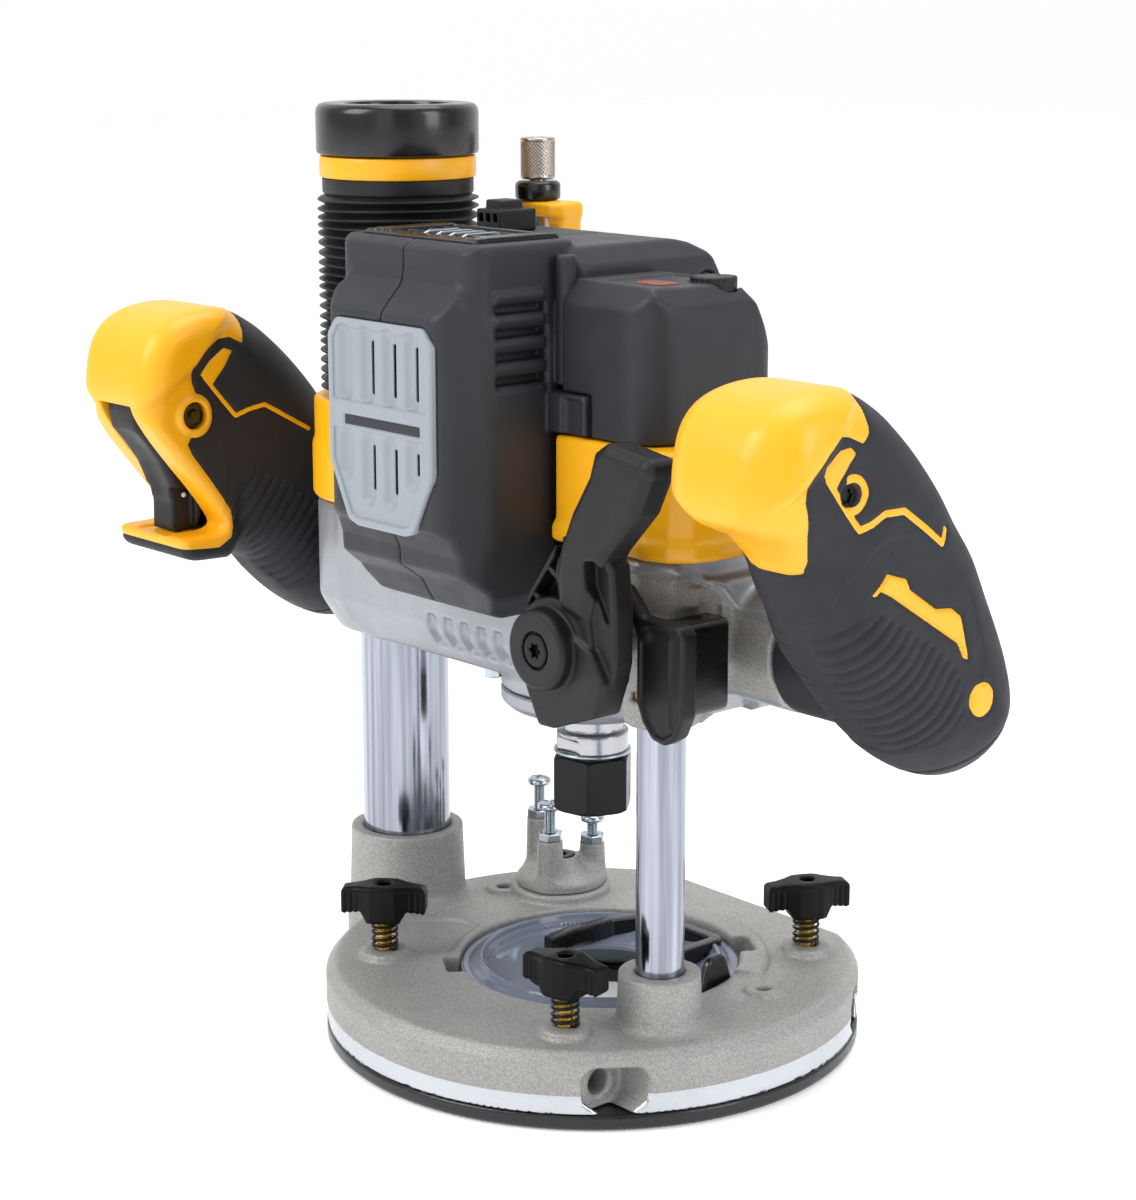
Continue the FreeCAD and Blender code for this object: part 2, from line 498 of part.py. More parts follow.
# ---------------------------------------------------------------- yellow middle shell
mid = body("middle_shell")
mid_outline = [(-86.4, -39.8), (34.6, -39.8), (34.6, d.mid_front), (76, d.mid_front), (84, -46.8), (89, -41), (d.mid_right, -33), (d.mid_right, 26), (88, 36), (80, 44), (70, 47),
               (-44, 47), (-44, 20.1), (-86.4, 20.1)]
pad(mid, "upper", "XY_Plane", [mid_outline], d.mid_top - 177.6, lift=177.6)
block(mid, "left_skirt", (-86.4, -39.8, 170.4), (34.6, 20.1, 178))
block(mid, "left_skirt_back", (-44, 10, 170.4), (34.6, 47, 178))
cyl(mid, "tube_lobe", 30.5, 170.4, d.mid_lobe_top, d.tube_x, d.tube_y)
block(mid, "lobe_step", (-130, -60, d.mid_lobe_top), (-52, 60, 230), cut=True)
block(mid, "motor_opening", (-36.5, -60, 160), (34.6, 40.5, 230), cut=True)
block(mid, "motor_opening_back", (34, -36.5, 160), (36.5, 40.5, 230), cut=True)
block(mid, "left_hollow", (-86.4, -36.6, 160), (-39.5, 17.0, d.mid_lobe_top - 3), cut=True)
cyl(mid, "lobe_hollow", 27.4, 160, d.mid_lobe_top - 3, d.tube_x, d.tube_y, cut=True)
block(mid, "right_hollow", (39.5, -46.4, 160), (86, 43.5, d.mid_top - 3), cut=True)
cyl(mid, "tube_hole", d.tube_radius + 0.8, 160, 230, d.tube_x, d.tube_y, cut=True)
cyl(mid, "post_hole", d.post_radius + 0.8, 160, 230, d.post_x, d.post_y, cut=True)

# ---------------------------------------------------------------- motor housing, two halves meeting at X = 0
tower = [(-72.1, 267.4), (-76.6, 264.6), (-76.4, 254.8), (-85.4, 245.3), (-85.4, 183.0), (-81.6, 180.6), (-79.1, 174.9), (-78.8, 169.4), (-70.4, 163.6), (-65.8, 155.8),
         (-60, 153), (-40.5, 153), (-40.5, 211), (-36, 211), (-36, 267.4)]
tower_in = [(-71.4, 264.4), (-74.0, 263.2), (-73.8, 253.8), (-82.8, 244.3), (-82.8, 184.4), (-79.6, 182.4), (-76.6, 175.6), (-76.3, 171.0), (-68.4, 165.4), (-63.8, 157.6),
            (-58, 155.6), (-43.1, 155.6), (-43.1, 213.6), (-30, 213.6), (-30, 264.4)]
rear = [(-40.5, 210.6), (-36, 210.6), (-36, 170.4), (40, 170.4), (40, 210.6), (42, 214), (42, 224), (23.4, 244.7), (18.4, 254.4), (14.8, 260.7), (9.6, 263.5), (4, 265.0), (-40.5, 265.0)]
rear_in = [(-37, 213.6), (-33.4, 213.6), (-33.4, 167), (37.4, 167), (37.4, 212), (39.4, 215), (39.4, 222.8), (21.0, 243.4), (16.0, 253.0), (12.6, 258.6), (8.4, 261.0), (4, 262.4), (-37, 262.4)]
for side, sign in (("left", -1), ("right", 1)):
    m = body("motor_housing_" + side)
    back = sign < 0
    pad(m, "tower", "YZ_Plane", [tower], d.tower_half, reverse=back)
    pad(m, "rear", "YZ_Plane", [rear], d.box_half - 2, reverse=back)
    pad(m, "rear_upper", "YZ_Plane", [[(-40.5, 211), (41, 211), (42, 214), (42, 224), (23.4, 244.7), (18.4, 254.4), (14.8, 260.7), (9.6, 263.5), (4, 265.0), (-40.5, 265.0)]], d.box_half, reverse=back)
    # front edges of the tower bevelled back to the grille, lower flank, and the roof bevel of the box
    wedge = [(26, -86), (40, -86), (40, -74), (32.9, -74), (26, -85.45)]
    pocket(m, "front_bevel", "XY_Plane", [[(sign * x, y) for x, y in wedge]], 150, lift=140, reverse=True)
    roof = [(31.5, 268.5), (31.5, 265.1), (34, 265.1), (38.1, 259), (45, 259), (45, 268.5)]
    pocket(m, "roof_bevel", "XZ_Plane", [[(sign * x, z) for x, z in roof]], 90, lift=-50)
    pocket(m, "tower_inside", "YZ_Plane", [tower_in], d.tower_half - d.housing_wall, reverse=not back, lift=0)
    pocket(m, "rear_inside", "YZ_Plane", [rear_in], d.box_half - 2 - d.housing_wall, reverse=not back, lift=0)
    lo, hi = sorted((0, sign * 25.1))
    block(m, "grille_opening", (lo, -90, d.grille_low - 0.1), (hi, -82.5, d.grille_top + 0.1), cut=True)
    for k in range(4):
        lo, hi = sorted((sign * 28, sign * 36))
        block(m, "louvre_%d" % k, (lo, -68, 225.4 + 7.4 * k), (hi, -48.5, 228.2 + 7.4 * k), cut=True)
    if sign > 0:
        block(m, "step_block", (33, d.mid_front, 210.5), (51, -44.5, 223))
        cyl(m, "side_bead", 2.3, 223, 262, 34.4, -43.2)
    cyl(m, "side_screw_seat", 3.6, 0, 2.8, cut=True, rot=ALONG_X, start=(35.4 if sign > 0 else -38.2, 13.2, 250))

grille = body("vent_grille")
grille_loop = [(-14, d.grille_low), (14, d.grille_low), (d.grille_half, 198), (d.grille_half, d.grille_top - 4), (d.grille_half - 4, d.grille_top), (-21, d.grille_top), (-25, 239), (-25, 198)]
pad(grille, "plate", "XZ_Plane", [grille_loop], d.grille_thick, lift=-d.grille_front - d.grille_thick)
for i, x in enumerate((-18, -6.5, 5, 16.5)):
    block(grille, "upper_slot_%d" % i, (x - 1.6, -95, 218), (x + 1.6, -80, 237.5), cut=True)
    block(grille, "lower_slot_%d" % i, (x - 1.6, -95, 189 if abs(x) < 12 else 196), (x + 1.6, -80, 204.5), cut=True)

ctl = body("control_housing")
ctl_loop = [(38.1, d.control_front), (62, d.control_front), (71, -44.4), (75.6, -38), (d.control_right, -30), (d.control_right, d.control_back), (38.1, d.control_back)]
pad(ctl, "prism", "XY_Plane", [ctl_loop], d.control_top - d.control_low, lift=d.control_low)
pocket(ctl, "roof_bevel_front", "YZ_Plane", [[(-50, 249), (-47.5, 249), (-41.5, 256.0), (-41.5, 258), (-50, 258)]], 60, lift=30, reverse=True)
pocket(ctl, "roof_bevel_side", "XZ_Plane", [[(84, 249), (77, 249), (71, 256.0), (71, 258), (84, 258)]], 80, lift=-20)
pocket(ctl, "roof_slope_back", "YZ_Plane", [[(-6, 256.01), (8.1, 233), (20, 233), (20, 260), (-6, 260)]], 60, lift=30, reverse=True)
block(ctl, "step_seat", (30, -60, 205), (51.1, -44.4, 223.1), cut=True)
block(ctl, "inside", (41, d.control_front + 3, 205), (d.control_right - 3, -4, 246.5), cut=True)
cyl(ctl, "post_passage", d.post_radius + 0.8, 205, 251.0, d.post_x, d.post_y, cut=True)
cyl(ctl, "spring_seat", 4.6, 246.0, 252.5, d.post_x, d.post_y)
cyl(ctl, "dial_bore", 7.05, 248.5, 260, 66.0, -12.0, cut=True)

dial = body("speed_dial", 66.0, -12.0)
revolve(dial, "turned", [(0, 248.9), (7.0, 248.9), (7.0, 257.0), (6.4, 257.9), (0, 257.9)])
block(dial, "pointer_groove", (-0.5, 1.0, 257.2), (0.5, 6.8, 259), cut=True)

rails = body("battery_rails")
block(rails, "plate", (-29, -70, 267.4), (29, -38, 268.6))
block(rails, "rail_left", (-29, -70, 268), (-24, 2, 275.2))
block(rails, "rail_right", (24, -70, 268), (29, 2, 275.2))
block(rails, "lip_left", (-29, -70, 273), (-20, 2, 275.2))
block(rails, "lip_right", (20, -70, 273), (29, 2, 275.2))
block(rails, "bridge", (-29, -6, 265.1), (29, 2, 270.4))
term = body("terminal_block")
block(term, "block", (-13, -64, 268.6), (13, -40, 272.0))
block(term, "riser", (-13, -40, 268.6), (13, -34, 276.0))
for i, x in enumerate((-9, -3, 3, 9)):
    block(term, "blade_%d" % i, (x - 0.5, -62, 272), (x + 0.5, -40, 276.0))

w = [p_cut("stator_stack", p_cyl("stator_outside", d.stator_outer, d.stator_high, 0, 0, d.stator_low), [p_cyl("stator_inside", d.stator_inner, d.stator_high + 10, 0, 0, d.stator_low - 5)])]
for i, (lo, hi) in enumerate(((147, 152), (198, 204))):
    w.append(p_cut("winding_%d" % i, p_cyl("winding_outer_%d" % i, 30, hi - lo, 0, 0, lo), [p_cyl("winding_inner_%d" % i, 19.5, 20, 0, 0, lo - 5)]))
c = doc.addObject("Part::Compound", "wound_stator")
c.Links = w
node(c, "stator")
carrier = body("upper_bearing_carrier")
block(carrier, "plate", (-33.0, -30, 226.5), (33.0, 27, 235))
cyl(carrier, "seat", 13.0, 220, 240, cut=True)
for i, (x, y) in enumerate(((-24, -19.5), (24, -19.5), (-24, 19.5), (24, 19.5))):
    cyl(carrier, "air_hole_%d" % i, 6.0, 220, 240, x, y, cut=True)
upb = body("upper_bearing")
revolve(upb, "turned", [(6.0, 227), (13.0, 227), (13.0, 235), (6.0, 235)])
board = body("controller_module")
block(board, "potting", (-24, -76, 190), (24, -60, 236))

# ---------------------------------------------------------------- spindle
shaft = body("spindle_shaft")
revolve(shaft, "turned", [(7.65, 80), (9.0, 80), (9.0, 95.4), (12.0, 95.4), (12.0, 102), (11.0, 103.4), (d.shaft_radius, 104.4), (d.shaft_radius, 226.4), (6.0, 226.4), (6.0, d.shaft_top), (0, d.shaft_top), (0, 109), (7.65, 109)])
block(shaft, "flat_one", (-20, -20, 95.0), (20, -10.4, 101), cut=True)
block(shaft, "flat_two", (-20, 10.4, 95.0), (20, 20, 101), cut=True)
rot = body("rotor")
pad(rot, "stack", "XY_Plane", [(0, 0, d.rotor_radius), (0, 0, d.shaft_radius)], 48, lift=151)
fan = body("cooling_fan")
pad(fan, "hub_ring", "XY_Plane", [(0, 0, 14), (0, 0, d.shaft_radius)], 11, lift=210)
cyl(fan, "disc", 30.5, 219, 221.4)
cyl(fan, "disc_bore", d.shaft_radius, 205, 225, cut=True)
for k in range(9):
    b = fan.newObject("PartDesign::AdditiveBox", "vane_%d" % k)
    b.Length, b.Width, b.Height = 17, 1.6, 9
    b.Placement = FreeCAD.Placement(V(0, 0, 211), turned(40 * k)).multiply(FreeCAD.Placement(V(13, -0.8, 0), FreeCAD.Rotation()))
collet = body("collet")
revolve(collet, "turned", [(d.collet_bore, d.collet_low), (8.0, d.collet_low), (8.4, 78), (7.6, 80.5), (7.6, 108), (d.collet_bore, 108)])
for k in range(4):
    b = collet.newObject("PartDesign::SubtractiveBox", "slit_%d" % k)
    b.Length, b.Width, b.Height = 12, 0.8, 24
    b.Placement = FreeCAD.Placement(V(0, 0, 76), turned(45 + 90 * k)).multiply(FreeCAD.Placement(V(2, -0.4, 0), FreeCAD.Rotation()))
nut_hex = doc.addObject("Part::Prism", "collet_nut_hex")
nut_hex.Polygon = 6
nut_hex.setExpression("Circumradius", "dims.nut_flats / 2 / cos(30)")
bind(nut_hex, "Height", d.nut_top - d.nut_low)
place(nut_hex, 0, 0, d.nut_low, turned(-49))
nut_round = doc.addObject("Part::Cone", "collet_nut_round")
nut_round.Radius1, nut_round.Radius2 = 12.3, 22.3
bind(nut_round, "Height", 10.0)
place(nut_round, 0, 0, d.nut_low)
nut_common = doc.addObject("Part::MultiCommon", "collet_nut_common")
tall = p_cyl("collet_nut_tall", 22.3, 30, 0, 0, d.nut_low + 10)
nut_common.Shapes = [nut_hex, p_fuse("collet_nut_envelope", [nut_round, tall])]
bore_a = p_cyl("collet_nut_mouth", 8.45, 10, 0, 0, d.nut_low - 1)
bore_b = p_cyl("collet_nut_thread", 9.0, 30, 0, 0, d.nut_low + 4)
node(p_cut("collet_nut_cut", nut_common, [bore_a, bore_b]), "collet_nut")
rg = doc.addObject("Part::Torus", "nut_ring")
rg.Radius1, rg.Radius2 = 12.3, 0.6
place(rg, 0, 0, 95.9)
ring_cut = p_cut("nut_ring_cut", rg, [p_cyl("nut_ring_core", 12.0, 6, 0, 0, 93), p_box("nut_ring_low", (-20, -20, 90), (20, 20, 95.4))])
node(ring_cut, "nut_retaining_ring")

# ---------------------------------------------------------------- plunge lock lever
lev = body("plunge_lock_lever", d.post_x, 0, d.lever_z)
arm = [(-12.6, 3.5), (-9.5, 15.0), (-0.8, 27.0), (8.0, 38.5), (17.0, 52.5), (19.0, 59.5), (24.0, 62.8), (42.0, 60.0), (43.6, 58.2), (36.6, 43.8), (25.0, 31.5), (23.2, 28.2), (14.6, 9.5), (18.0, 3.0),
       (24.6, -6.5), (21.0, -16.8), (2.0, -23.8), (-4.2, -24.0), (-10.0, -15.0), (-13.5, -6.0)]
pad(lev, "arm", "XZ_Plane", [arm], 9.0, lift=-d.lever_back + 0.8)
cyl(lev, "flange", 14.5, 0, 9.0, rot=ALONG_Y, start=(0, -71.0, 0))
cyl(lev, "hub", d.hub_radius, 0, 8, rot=ALONG_Y, start=(0, d.lever_front, 0))
cyl(lev, "screw_sink", 5.1, 0, 2.6, cut=True, rot=ALONG_Y, start=(0, d.lever_front - 0.1, 0))
cyl(lev, "bolt_seat", d.lock_bolt_radius, 0, 18, cut=True, rot=ALONG_Y, start=(0, d.lever_front, 0))
bolt = body("lock_bolt", d.post_x, 0, d.lever_z)
cyl(bolt, "bolt", d.lock_bolt_radius, 0, 42.3, rot=ALONG_Y, start=(0, d.lever_front + 0.3, 0))
cyl(bolt, "head", 4.9, 0, 2.2, rot=ALONG_Y, start=(0, d.lever_front + 0.1, 0))
cyl(bolt, "socket", 2.0, 0, 1.8, cut=True, rot=ALONG_Y, start=(0, d.lever_front - 0.1, 0))

# ---------------------------------------------------------------- spindle lock button
but = body("spindle_lock_button")
pad(but, "plate", "XZ_Plane", [[(82, 163), (97, 163), (98.4, 160), (98.4, 136), (95, 130), (90, 127.6), (84, 128.6), (80.4, 134), (80.4, 161)]], 6.0, lift=50.5)
block(but, "block", (80.2, -51.0, 133.0), (91.5, -29.0, 161.0))
pocket(but, "thumb_inset", "XZ_Plane", [[(84.5, 155), (94.5, 155), (94.5, 137), (91, 132.5), (86.5, 133.5), (84.5, 138)]], 2, lift=57.0)

# ---------------------------------------------------------------- depth stop
rod = body("depth_rod", d.rod_x, d.rod_y)
cyl(rod, "rod", d.rod_radius, d.rod_low, d.collar_low)
col = body("depth_rod_collar", d.rod_x, d.rod_y)
revolve(col, "turned", [(0, d.collar_low), (d.collar_radius - 1, d.collar_low), (d.collar_radius, d.collar_low + 1), (d.collar_radius, d.fine_low - 1.2), (d.collar_radius - 1.5, d.fine_low), (3.0, d.fine_low), (3.0, d.fine_low - 4), (0, d.fine_low - 4)])
cur = body("depth_cursor", d.rod_x, d.rod_y)
block(cur, "arm", (-8.6, -7.0, 264.6), (17.5, 7.0, 269.4))
block(cur, "leg", (9.0, -4.5, 243), (17.5, 5.0, 269.4))
cyl(cur, "rod_hole", d.rod_radius, 260, 272, cut=True)
fine = body("depth_fine_knob", d.rod_x, d.rod_y)
revolve(fine, "turned", [(0, d.fine_low - 3.6), (2.95, d.fine_low - 3.6), (2.95, d.fine_low + 0.4), (d.fine_radius, d.fine_low + 0.4), (d.fine_radius, d.fine_top - 0.9), (d.fine_radius - 0.9, d.fine_top), (2.2, d.fine_top), (2.2, d.fine_top - 1.4), (0, d.fine_top - 1.4)])

# ---------------------------------------------------------------- handles
# Each handle is lofted: rounded sections square to the raked grip axis, and upright rounded sections along the horn.
def oval(centre, e1, e2, a, b, power=2.3, count=28):
    points = []
    for i in range(count):
        t = 2 * math.pi * i / count
        c, s = math.cos(t), math.sin(t)
        points.append(centre + e1 * (a * math.copysign(abs(c) ** (2 / power), c)) + e2 * (b * math.copysign(abs(s) ** (2 / power), s)))
    curve = Part.BSplineCurve()
    curve.interpolate(points, PeriodicFlag=True)
    return Part.Wire([curve.toShape()])


RAKE = V(0, -0.46, 0.888).normalize()
ACROSS = V(0, 0.888, 0.46).normalize()
EX = V(1, 0, 0)
# centre (Y, Z), half depth, half width as a share of the grip half
GRIP = [(8.8, 112.8, 8.0, 0.34), (7.2, 117.0, 15.5, 0.62), (3.2, 126.0, 22.0, 0.88), (-3.8, 140.5, 25.0, 0.97), (-10.6, 151.1, 27.3, 1.0), (-25.6, 173.0, 29.5, 1.0), (-37.0, 191.5, 28.0, 1.0), (-45.4, 203.7, 26.0, 1.0), (-51.0, 214.0, 19.0, 0.80)]
HORN = [(-36, 200, 228, 0.80), (-50, 199, 234.5, 0.95), (-62, 197.5, 236.3, 1.0), (-74, 197.5, 235, 1.0), (-82, 199, 230.5, 0.94), (-87.5, 202, 222.5, 0.77), (-90, 205.5, 215, 0.55)]
RISE = {-1: -2.0, 1: 2.0}


def grip_loft(x, rise, scale_y, scale_x, low=0, high=9):
    half = float(sheet.get("grip_half"))
    wires = [oval(V(x, y, z + rise), ACROSS, EX, a * scale_y, half * k * scale_x) for y, z, a, k in GRIP[low:high]]
    return Part.makeLoft(wires, True, True)


def horn_loft(x, rise):
    half = float(sheet.get("horn_half"))
    wires = [oval(V(x, y, (lo + hi) / 2.0 + rise), EX, V(0, 0, 1), half * k, (hi - lo) / 2.0, 2.8) for y, lo, hi, k in HORN]
    return Part.makeLoft(wires, True, False)


def bar(x1, x2, radius, y, z):
    return Part.makeCylinder(radius, abs(x2 - x1), V(min(x1, x2), y, z), EX)


def slab(x1, x2, corners):
    """A plate between two X planes with the given (Y, Z) outline."""
    pts = [V(x1, y, z) for y, z in corners]
    return Part.Face(Part.makePolygon(pts + pts[:1])).extrude(V(x2 - x1, 0, 0))


gx = float(sheet.get("grip_x"))
hy, hz = float(sheet.get("handle_y")), float(sheet.get("handle_z"))
core_r = float(sheet.get("core_radius"))
lower_cut = slab(-60, 60, [(-60, 100), (60, 100), (60, 142.0), (-60, 80.0 + 0.0)])
trigger_loop = [(-86.5, 200), (-85.5, 193.5), (-80.5, 187.5), (-76, 181), (-73, 174.5), (-70.8, 167), (-71, 156.8), (-62, 158), (-56.5, 168), (-58, 186), (-74, 191.5), (-76, 197), (-76.2, 211), (-86, 211)]
slot_loop = [(-87.6, 213), (-87.6, 203), (-96, 196), (-92, 176), (-86, 156.2), (-46.5, 156.2), (-46.5, 194), (-66, 213)]
trim_loop = [(-84, 206), (-82, 190.5), (-74.5, 181), (-66.8, 171.4), (-60, 162), (-59.6, 159), (-64, 157.4), (-75, 157.4), (-76, 153), (-64, 149), (-40, 149), (-36, 160), (-40, 200), (-50, 210)]
pivot_y, pivot_z = -81.3, 205.5
grip_half = float(sheet.get("grip_half"))
caps, fasteners = [], []

for side, sign in (("left", -1), ("right", 1)):
    x = sign * gx
    outer = grip_loft(x, RISE[sign], 1.0, 1.0)
    inner = grip_loft(x, RISE[sign], 0.72, 0.72, 3, 8)
    horn = horn_loft(x, RISE[sign])
    # the end cap is the lower tip of the grip, cut square to the grip axis
    plane_centre = V(x, 2.0, 128.5 + RISE[sign])
    below = Part.makeBox(80, 80, 60, V(-40, -40, -60))
    below.Placement = FreeCAD.Placement(plane_centre, FreeCAD.Rotation(V(0, 0, 1), RAKE))
    cap_piece = outer.common(below)
    neck_in, neck_out = (-108.1, -133) if sign < 0 else (90.2, 133)
    sleeve_in = -117.7 if sign < 0 else 100.2
    neck = bar(neck_in, neck_out, 13.0, hy, hz)
    sleeve = bar(sleeve_in, sign * 133, float(sheet.get("flange_radius")), hy, hz)
    core = inner.fuse([horn, neck])
    if sign < 0:
        core = core.fuse(slab(x - 13.5, x + 13.5, trim_loop))
        slot = slab(x - 9.6, x + 9.6, slot_loop)
        core = core.cut(slot)
        core = core.cut(bar(x - 12.6, x + 12.6, 2.55, pivot_y, pivot_z))
        core = core.cut(bar(x - 12.6, x + 40, 4.45, -70.0, 199.0))
        core = core.cut(Part.makeBox(15, 22, 22, V(x - 7.5, -44.5, 172)))
    else:
        core = core.fuse(slab(x - 14, x + 14, [(-84, 208), (-82, 201.5), (-72, 196.5), (-67.5, 190), (-64.5, 184), (-58, 183), (-50, 194), (-44, 208), (-44, 214)]))
    core = core.cut(below).removeSplitter()
    if sign < 0:
        # pieces of the horn root stay with the core; only the largest solid is the core
        core = max(core.Solids, key=lambda q: q.Volume)
    grip = outer.fuse(sleeve).cut(below).cut(core)
    if sign < 0:
        grip = grip.cut(slot).cut(bar(x - 12.6, x + 40, 4.45, -70.0, 199.0)).cut(neck).cut(Part.makeBox(15, 22, 22, V(x - 7.5, -44.5, 172)))
    else:
        grip = grip.cut(neck)
    if sign > 0:
        plate_loop = [(-47, 182), (-41.8, 187.6), (-34.3, 185.1), (-32.4, 181.9), (-21.8, 174.9), (-15.1, 174.1), (-11.1, 171.4), (-7.2, 158.6), (-11.8, 163.4), (-39.9, 181.0)]
        plate = slab(x + grip_half - 2.6, x + grip_half + 0.5, plate_loop)
        grip = grip.cut(plate)
        feature("right_handle_plate", plate)
        screw_a = bar(x + grip_half - 8, x + grip_half - 0.6, 4.2, -57.0, 210.5)
        screw_b = bar(x + grip_half - 5, x + grip_half - 1.4, 4.2, 0.0, 145.5)
        grip = grip.cut(screw_a).cut(screw_b)
        core = core.cut(screw_a).cut(screw_b)
        fasteners += [screw_a, screw_b]
    grip = max(grip.Solids, key=lambda q: q.Volume)
    core = max(core.Solids, key=lambda q: q.Volume)
    feature(side + "_handle_core", core)
    feature(side + "_handle_grip", grip)
    caps.append(cap_piece)

feature("handle_end_caps", Part.makeCompound(caps))

xl = -gx
trig = slab(xl - 9, xl + 9, trigger_loop).fuse(bar(xl - 12.2, xl + 12.2, 2.5, pivot_y, pivot_z)).removeSplitter()
feature("trigger", trig)
feature("lock_off_button", bar(xl - 9.4, xl + 15.6, 4.4, -70.0, 199.0))
feature("switch_module", Part.makeBox(14.4, 21.4, 21.4, V(xl - 7.2, -44.2, 172.3)))

# ---------------------------------------------------------------- housing and handle screws
for lo, hi in ((35.4, 37.8), (-37.8, -35.4)):
    fasteners.append(bar(lo, hi, 3.6, 13.2, 250.0))
feature("housing_screws", Part.makeCompound(fasteners))

doc.recompute()

os.makedirs("parts", exist_ok=True)
for o in doc.Objects:
    if "Invalid" in o.State or "Error" in o.State:
        raise SystemExit("feature failed: " + o.Name)
if len(set(label for label, o in nodes)) != len(nodes) or len(nodes) > 60:
    raise SystemExit("node names")
for label, o in nodes:
    if o.Shape.isNull() or not o.Shape.isValid() or not o.Shape.Solids:
        raise SystemExit("bad shape: " + label)
for label, o in nodes:
    o.Shape.exportStep("parts/%s.step" % label)
    print("%-24s %3d solid %10.1f mm3" % (label, len(o.Shape.Solids), o.Shape.Volume))
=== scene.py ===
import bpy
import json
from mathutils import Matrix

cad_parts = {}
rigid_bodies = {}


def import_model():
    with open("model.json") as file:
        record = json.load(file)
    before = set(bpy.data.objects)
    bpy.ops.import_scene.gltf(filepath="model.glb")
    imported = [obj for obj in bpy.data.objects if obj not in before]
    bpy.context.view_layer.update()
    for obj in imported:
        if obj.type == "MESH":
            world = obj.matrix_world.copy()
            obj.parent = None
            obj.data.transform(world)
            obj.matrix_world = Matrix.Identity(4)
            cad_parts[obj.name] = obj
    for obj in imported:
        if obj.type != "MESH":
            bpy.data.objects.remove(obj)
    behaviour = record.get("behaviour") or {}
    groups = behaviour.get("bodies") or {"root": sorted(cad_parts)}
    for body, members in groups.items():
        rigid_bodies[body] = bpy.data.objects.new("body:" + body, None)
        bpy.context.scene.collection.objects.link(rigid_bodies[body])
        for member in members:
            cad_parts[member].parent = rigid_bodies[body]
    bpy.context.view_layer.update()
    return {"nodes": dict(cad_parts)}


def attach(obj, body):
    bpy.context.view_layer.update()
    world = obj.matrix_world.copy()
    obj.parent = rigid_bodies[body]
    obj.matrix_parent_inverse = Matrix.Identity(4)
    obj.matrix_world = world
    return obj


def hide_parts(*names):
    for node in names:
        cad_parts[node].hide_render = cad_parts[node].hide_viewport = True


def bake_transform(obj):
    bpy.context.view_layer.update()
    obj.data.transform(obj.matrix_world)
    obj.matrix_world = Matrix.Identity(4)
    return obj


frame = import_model()

import json
import math

import bmesh
import bpy
import numpy as np
from mathutils import Matrix, Vector

MM = 0.001

# ------------------------------------------------------------------ solid shapes as distance fields, in millimetres
# A field takes an (n, 3) array of points and gives their distance to the surface, negative inside.


def ln(a, axis=1):
    return np.sqrt(np.maximum((a * a).sum(axis), 0))


def f_box(p, lo, hi, r=0.0):
    lo, hi = np.array(lo, float), np.array(hi, float)
    q = np.abs(p - (lo + hi) / 2) - ((hi - lo) / 2 - r)
    return ln(np.maximum(q, 0)) + np.minimum(q.max(1), 0) - r


def f_cyl(p, c, r, lo, hi, axis=2, rnd=0.0, r2=None):
    """A cylinder, or a cone from r at lo to r2 at hi, along a row axis."""
    a, b = [i for i in range(3) if i != axis]
    d = np.hypot(p[:, a] - c[0], p[:, b] - c[1])
    t = p[:, axis]
    if r2 is not None:
        k = np.clip((t - lo) / float(hi - lo), 0, 1)
        d = (d - (r + (r2 - r) * k)) * math.cos(math.atan2(abs(r2 - r), hi - lo)) + rnd
    else:
        d = d - r + rnd
    e = np.abs(t - (lo + hi) / 2.0) - (hi - lo) / 2.0 + rnd
    return np.hypot(np.maximum(d, 0), np.maximum(e, 0)) + np.minimum(np.maximum(d, e), 0) - rnd


def f_capsule(p, a, b, r, r2=None):
    a, b = np.array(a, float), np.array(b, float)
    ab = b - a
    h = np.clip(((p - a) @ ab) / (ab @ ab), 0, 1)
    rr = r if r2 is None else r + (r2 - r) * h
    return ln(p - a - h[:, None] * ab) - rr


def f_torus(p, c, R, r, axis=2):
    a, b = [i for i in range(3) if i != axis]
    d = np.hypot(p[:, a] - c[a], p[:, b] - c[b]) - R
    return np.hypot(d, p[:, axis] - c[axis]) - r


def poly2(u, v, loop):
    """Signed distance in the plane to a closed polygon."""
    loop = np.array(loop, float)
    n = len(loop)
    best = np.full(len(u), 1e18)
    sign = np.ones(len(u))
    for i in range(n):
        ax, ay = loop[i]
        bx, by = loop[i - 1]
        ex, ey = bx - ax, by - ay
        wx, wy = u - ax, v - ay
        k = np.clip((wx * ex + wy * ey) / (ex * ex + ey * ey), 0, 1)
        dx, dy = wx - ex * k, wy - ey * k
        best = np.minimum(best, dx * dx + dy * dy)
        c1, c2, c3 = v >= ay, v < by, ex * wy > ey * wx
        flip = (c1 & c2 & c3) | (~c1 & ~c2 & ~c3)
        sign = np.where(flip, -sign, sign)
    return sign * np.sqrt(best)


def f_prism(p, loop, lo, hi, axis=2, rnd=0.0, edge=None):
    """A polygon drawn out along a row axis. rnd rounds its corners in the plane, edge its two end rims."""
    a, b = [i for i in range(3) if i != axis]
    d = poly2(p[:, a], p[:, b], loop)
    if rnd:
        d = poly2_round(p[:, a], p[:, b], loop, rnd)
    e = np.abs(p[:, axis] - (lo + hi) / 2.0) - (hi - lo) / 2.0
    k = rnd if edge is None else edge
    return np.hypot(np.maximum(d + k, 0), np.maximum(e + k, 0)) + np.minimum(np.maximum(d + k, e + k), 0) - k


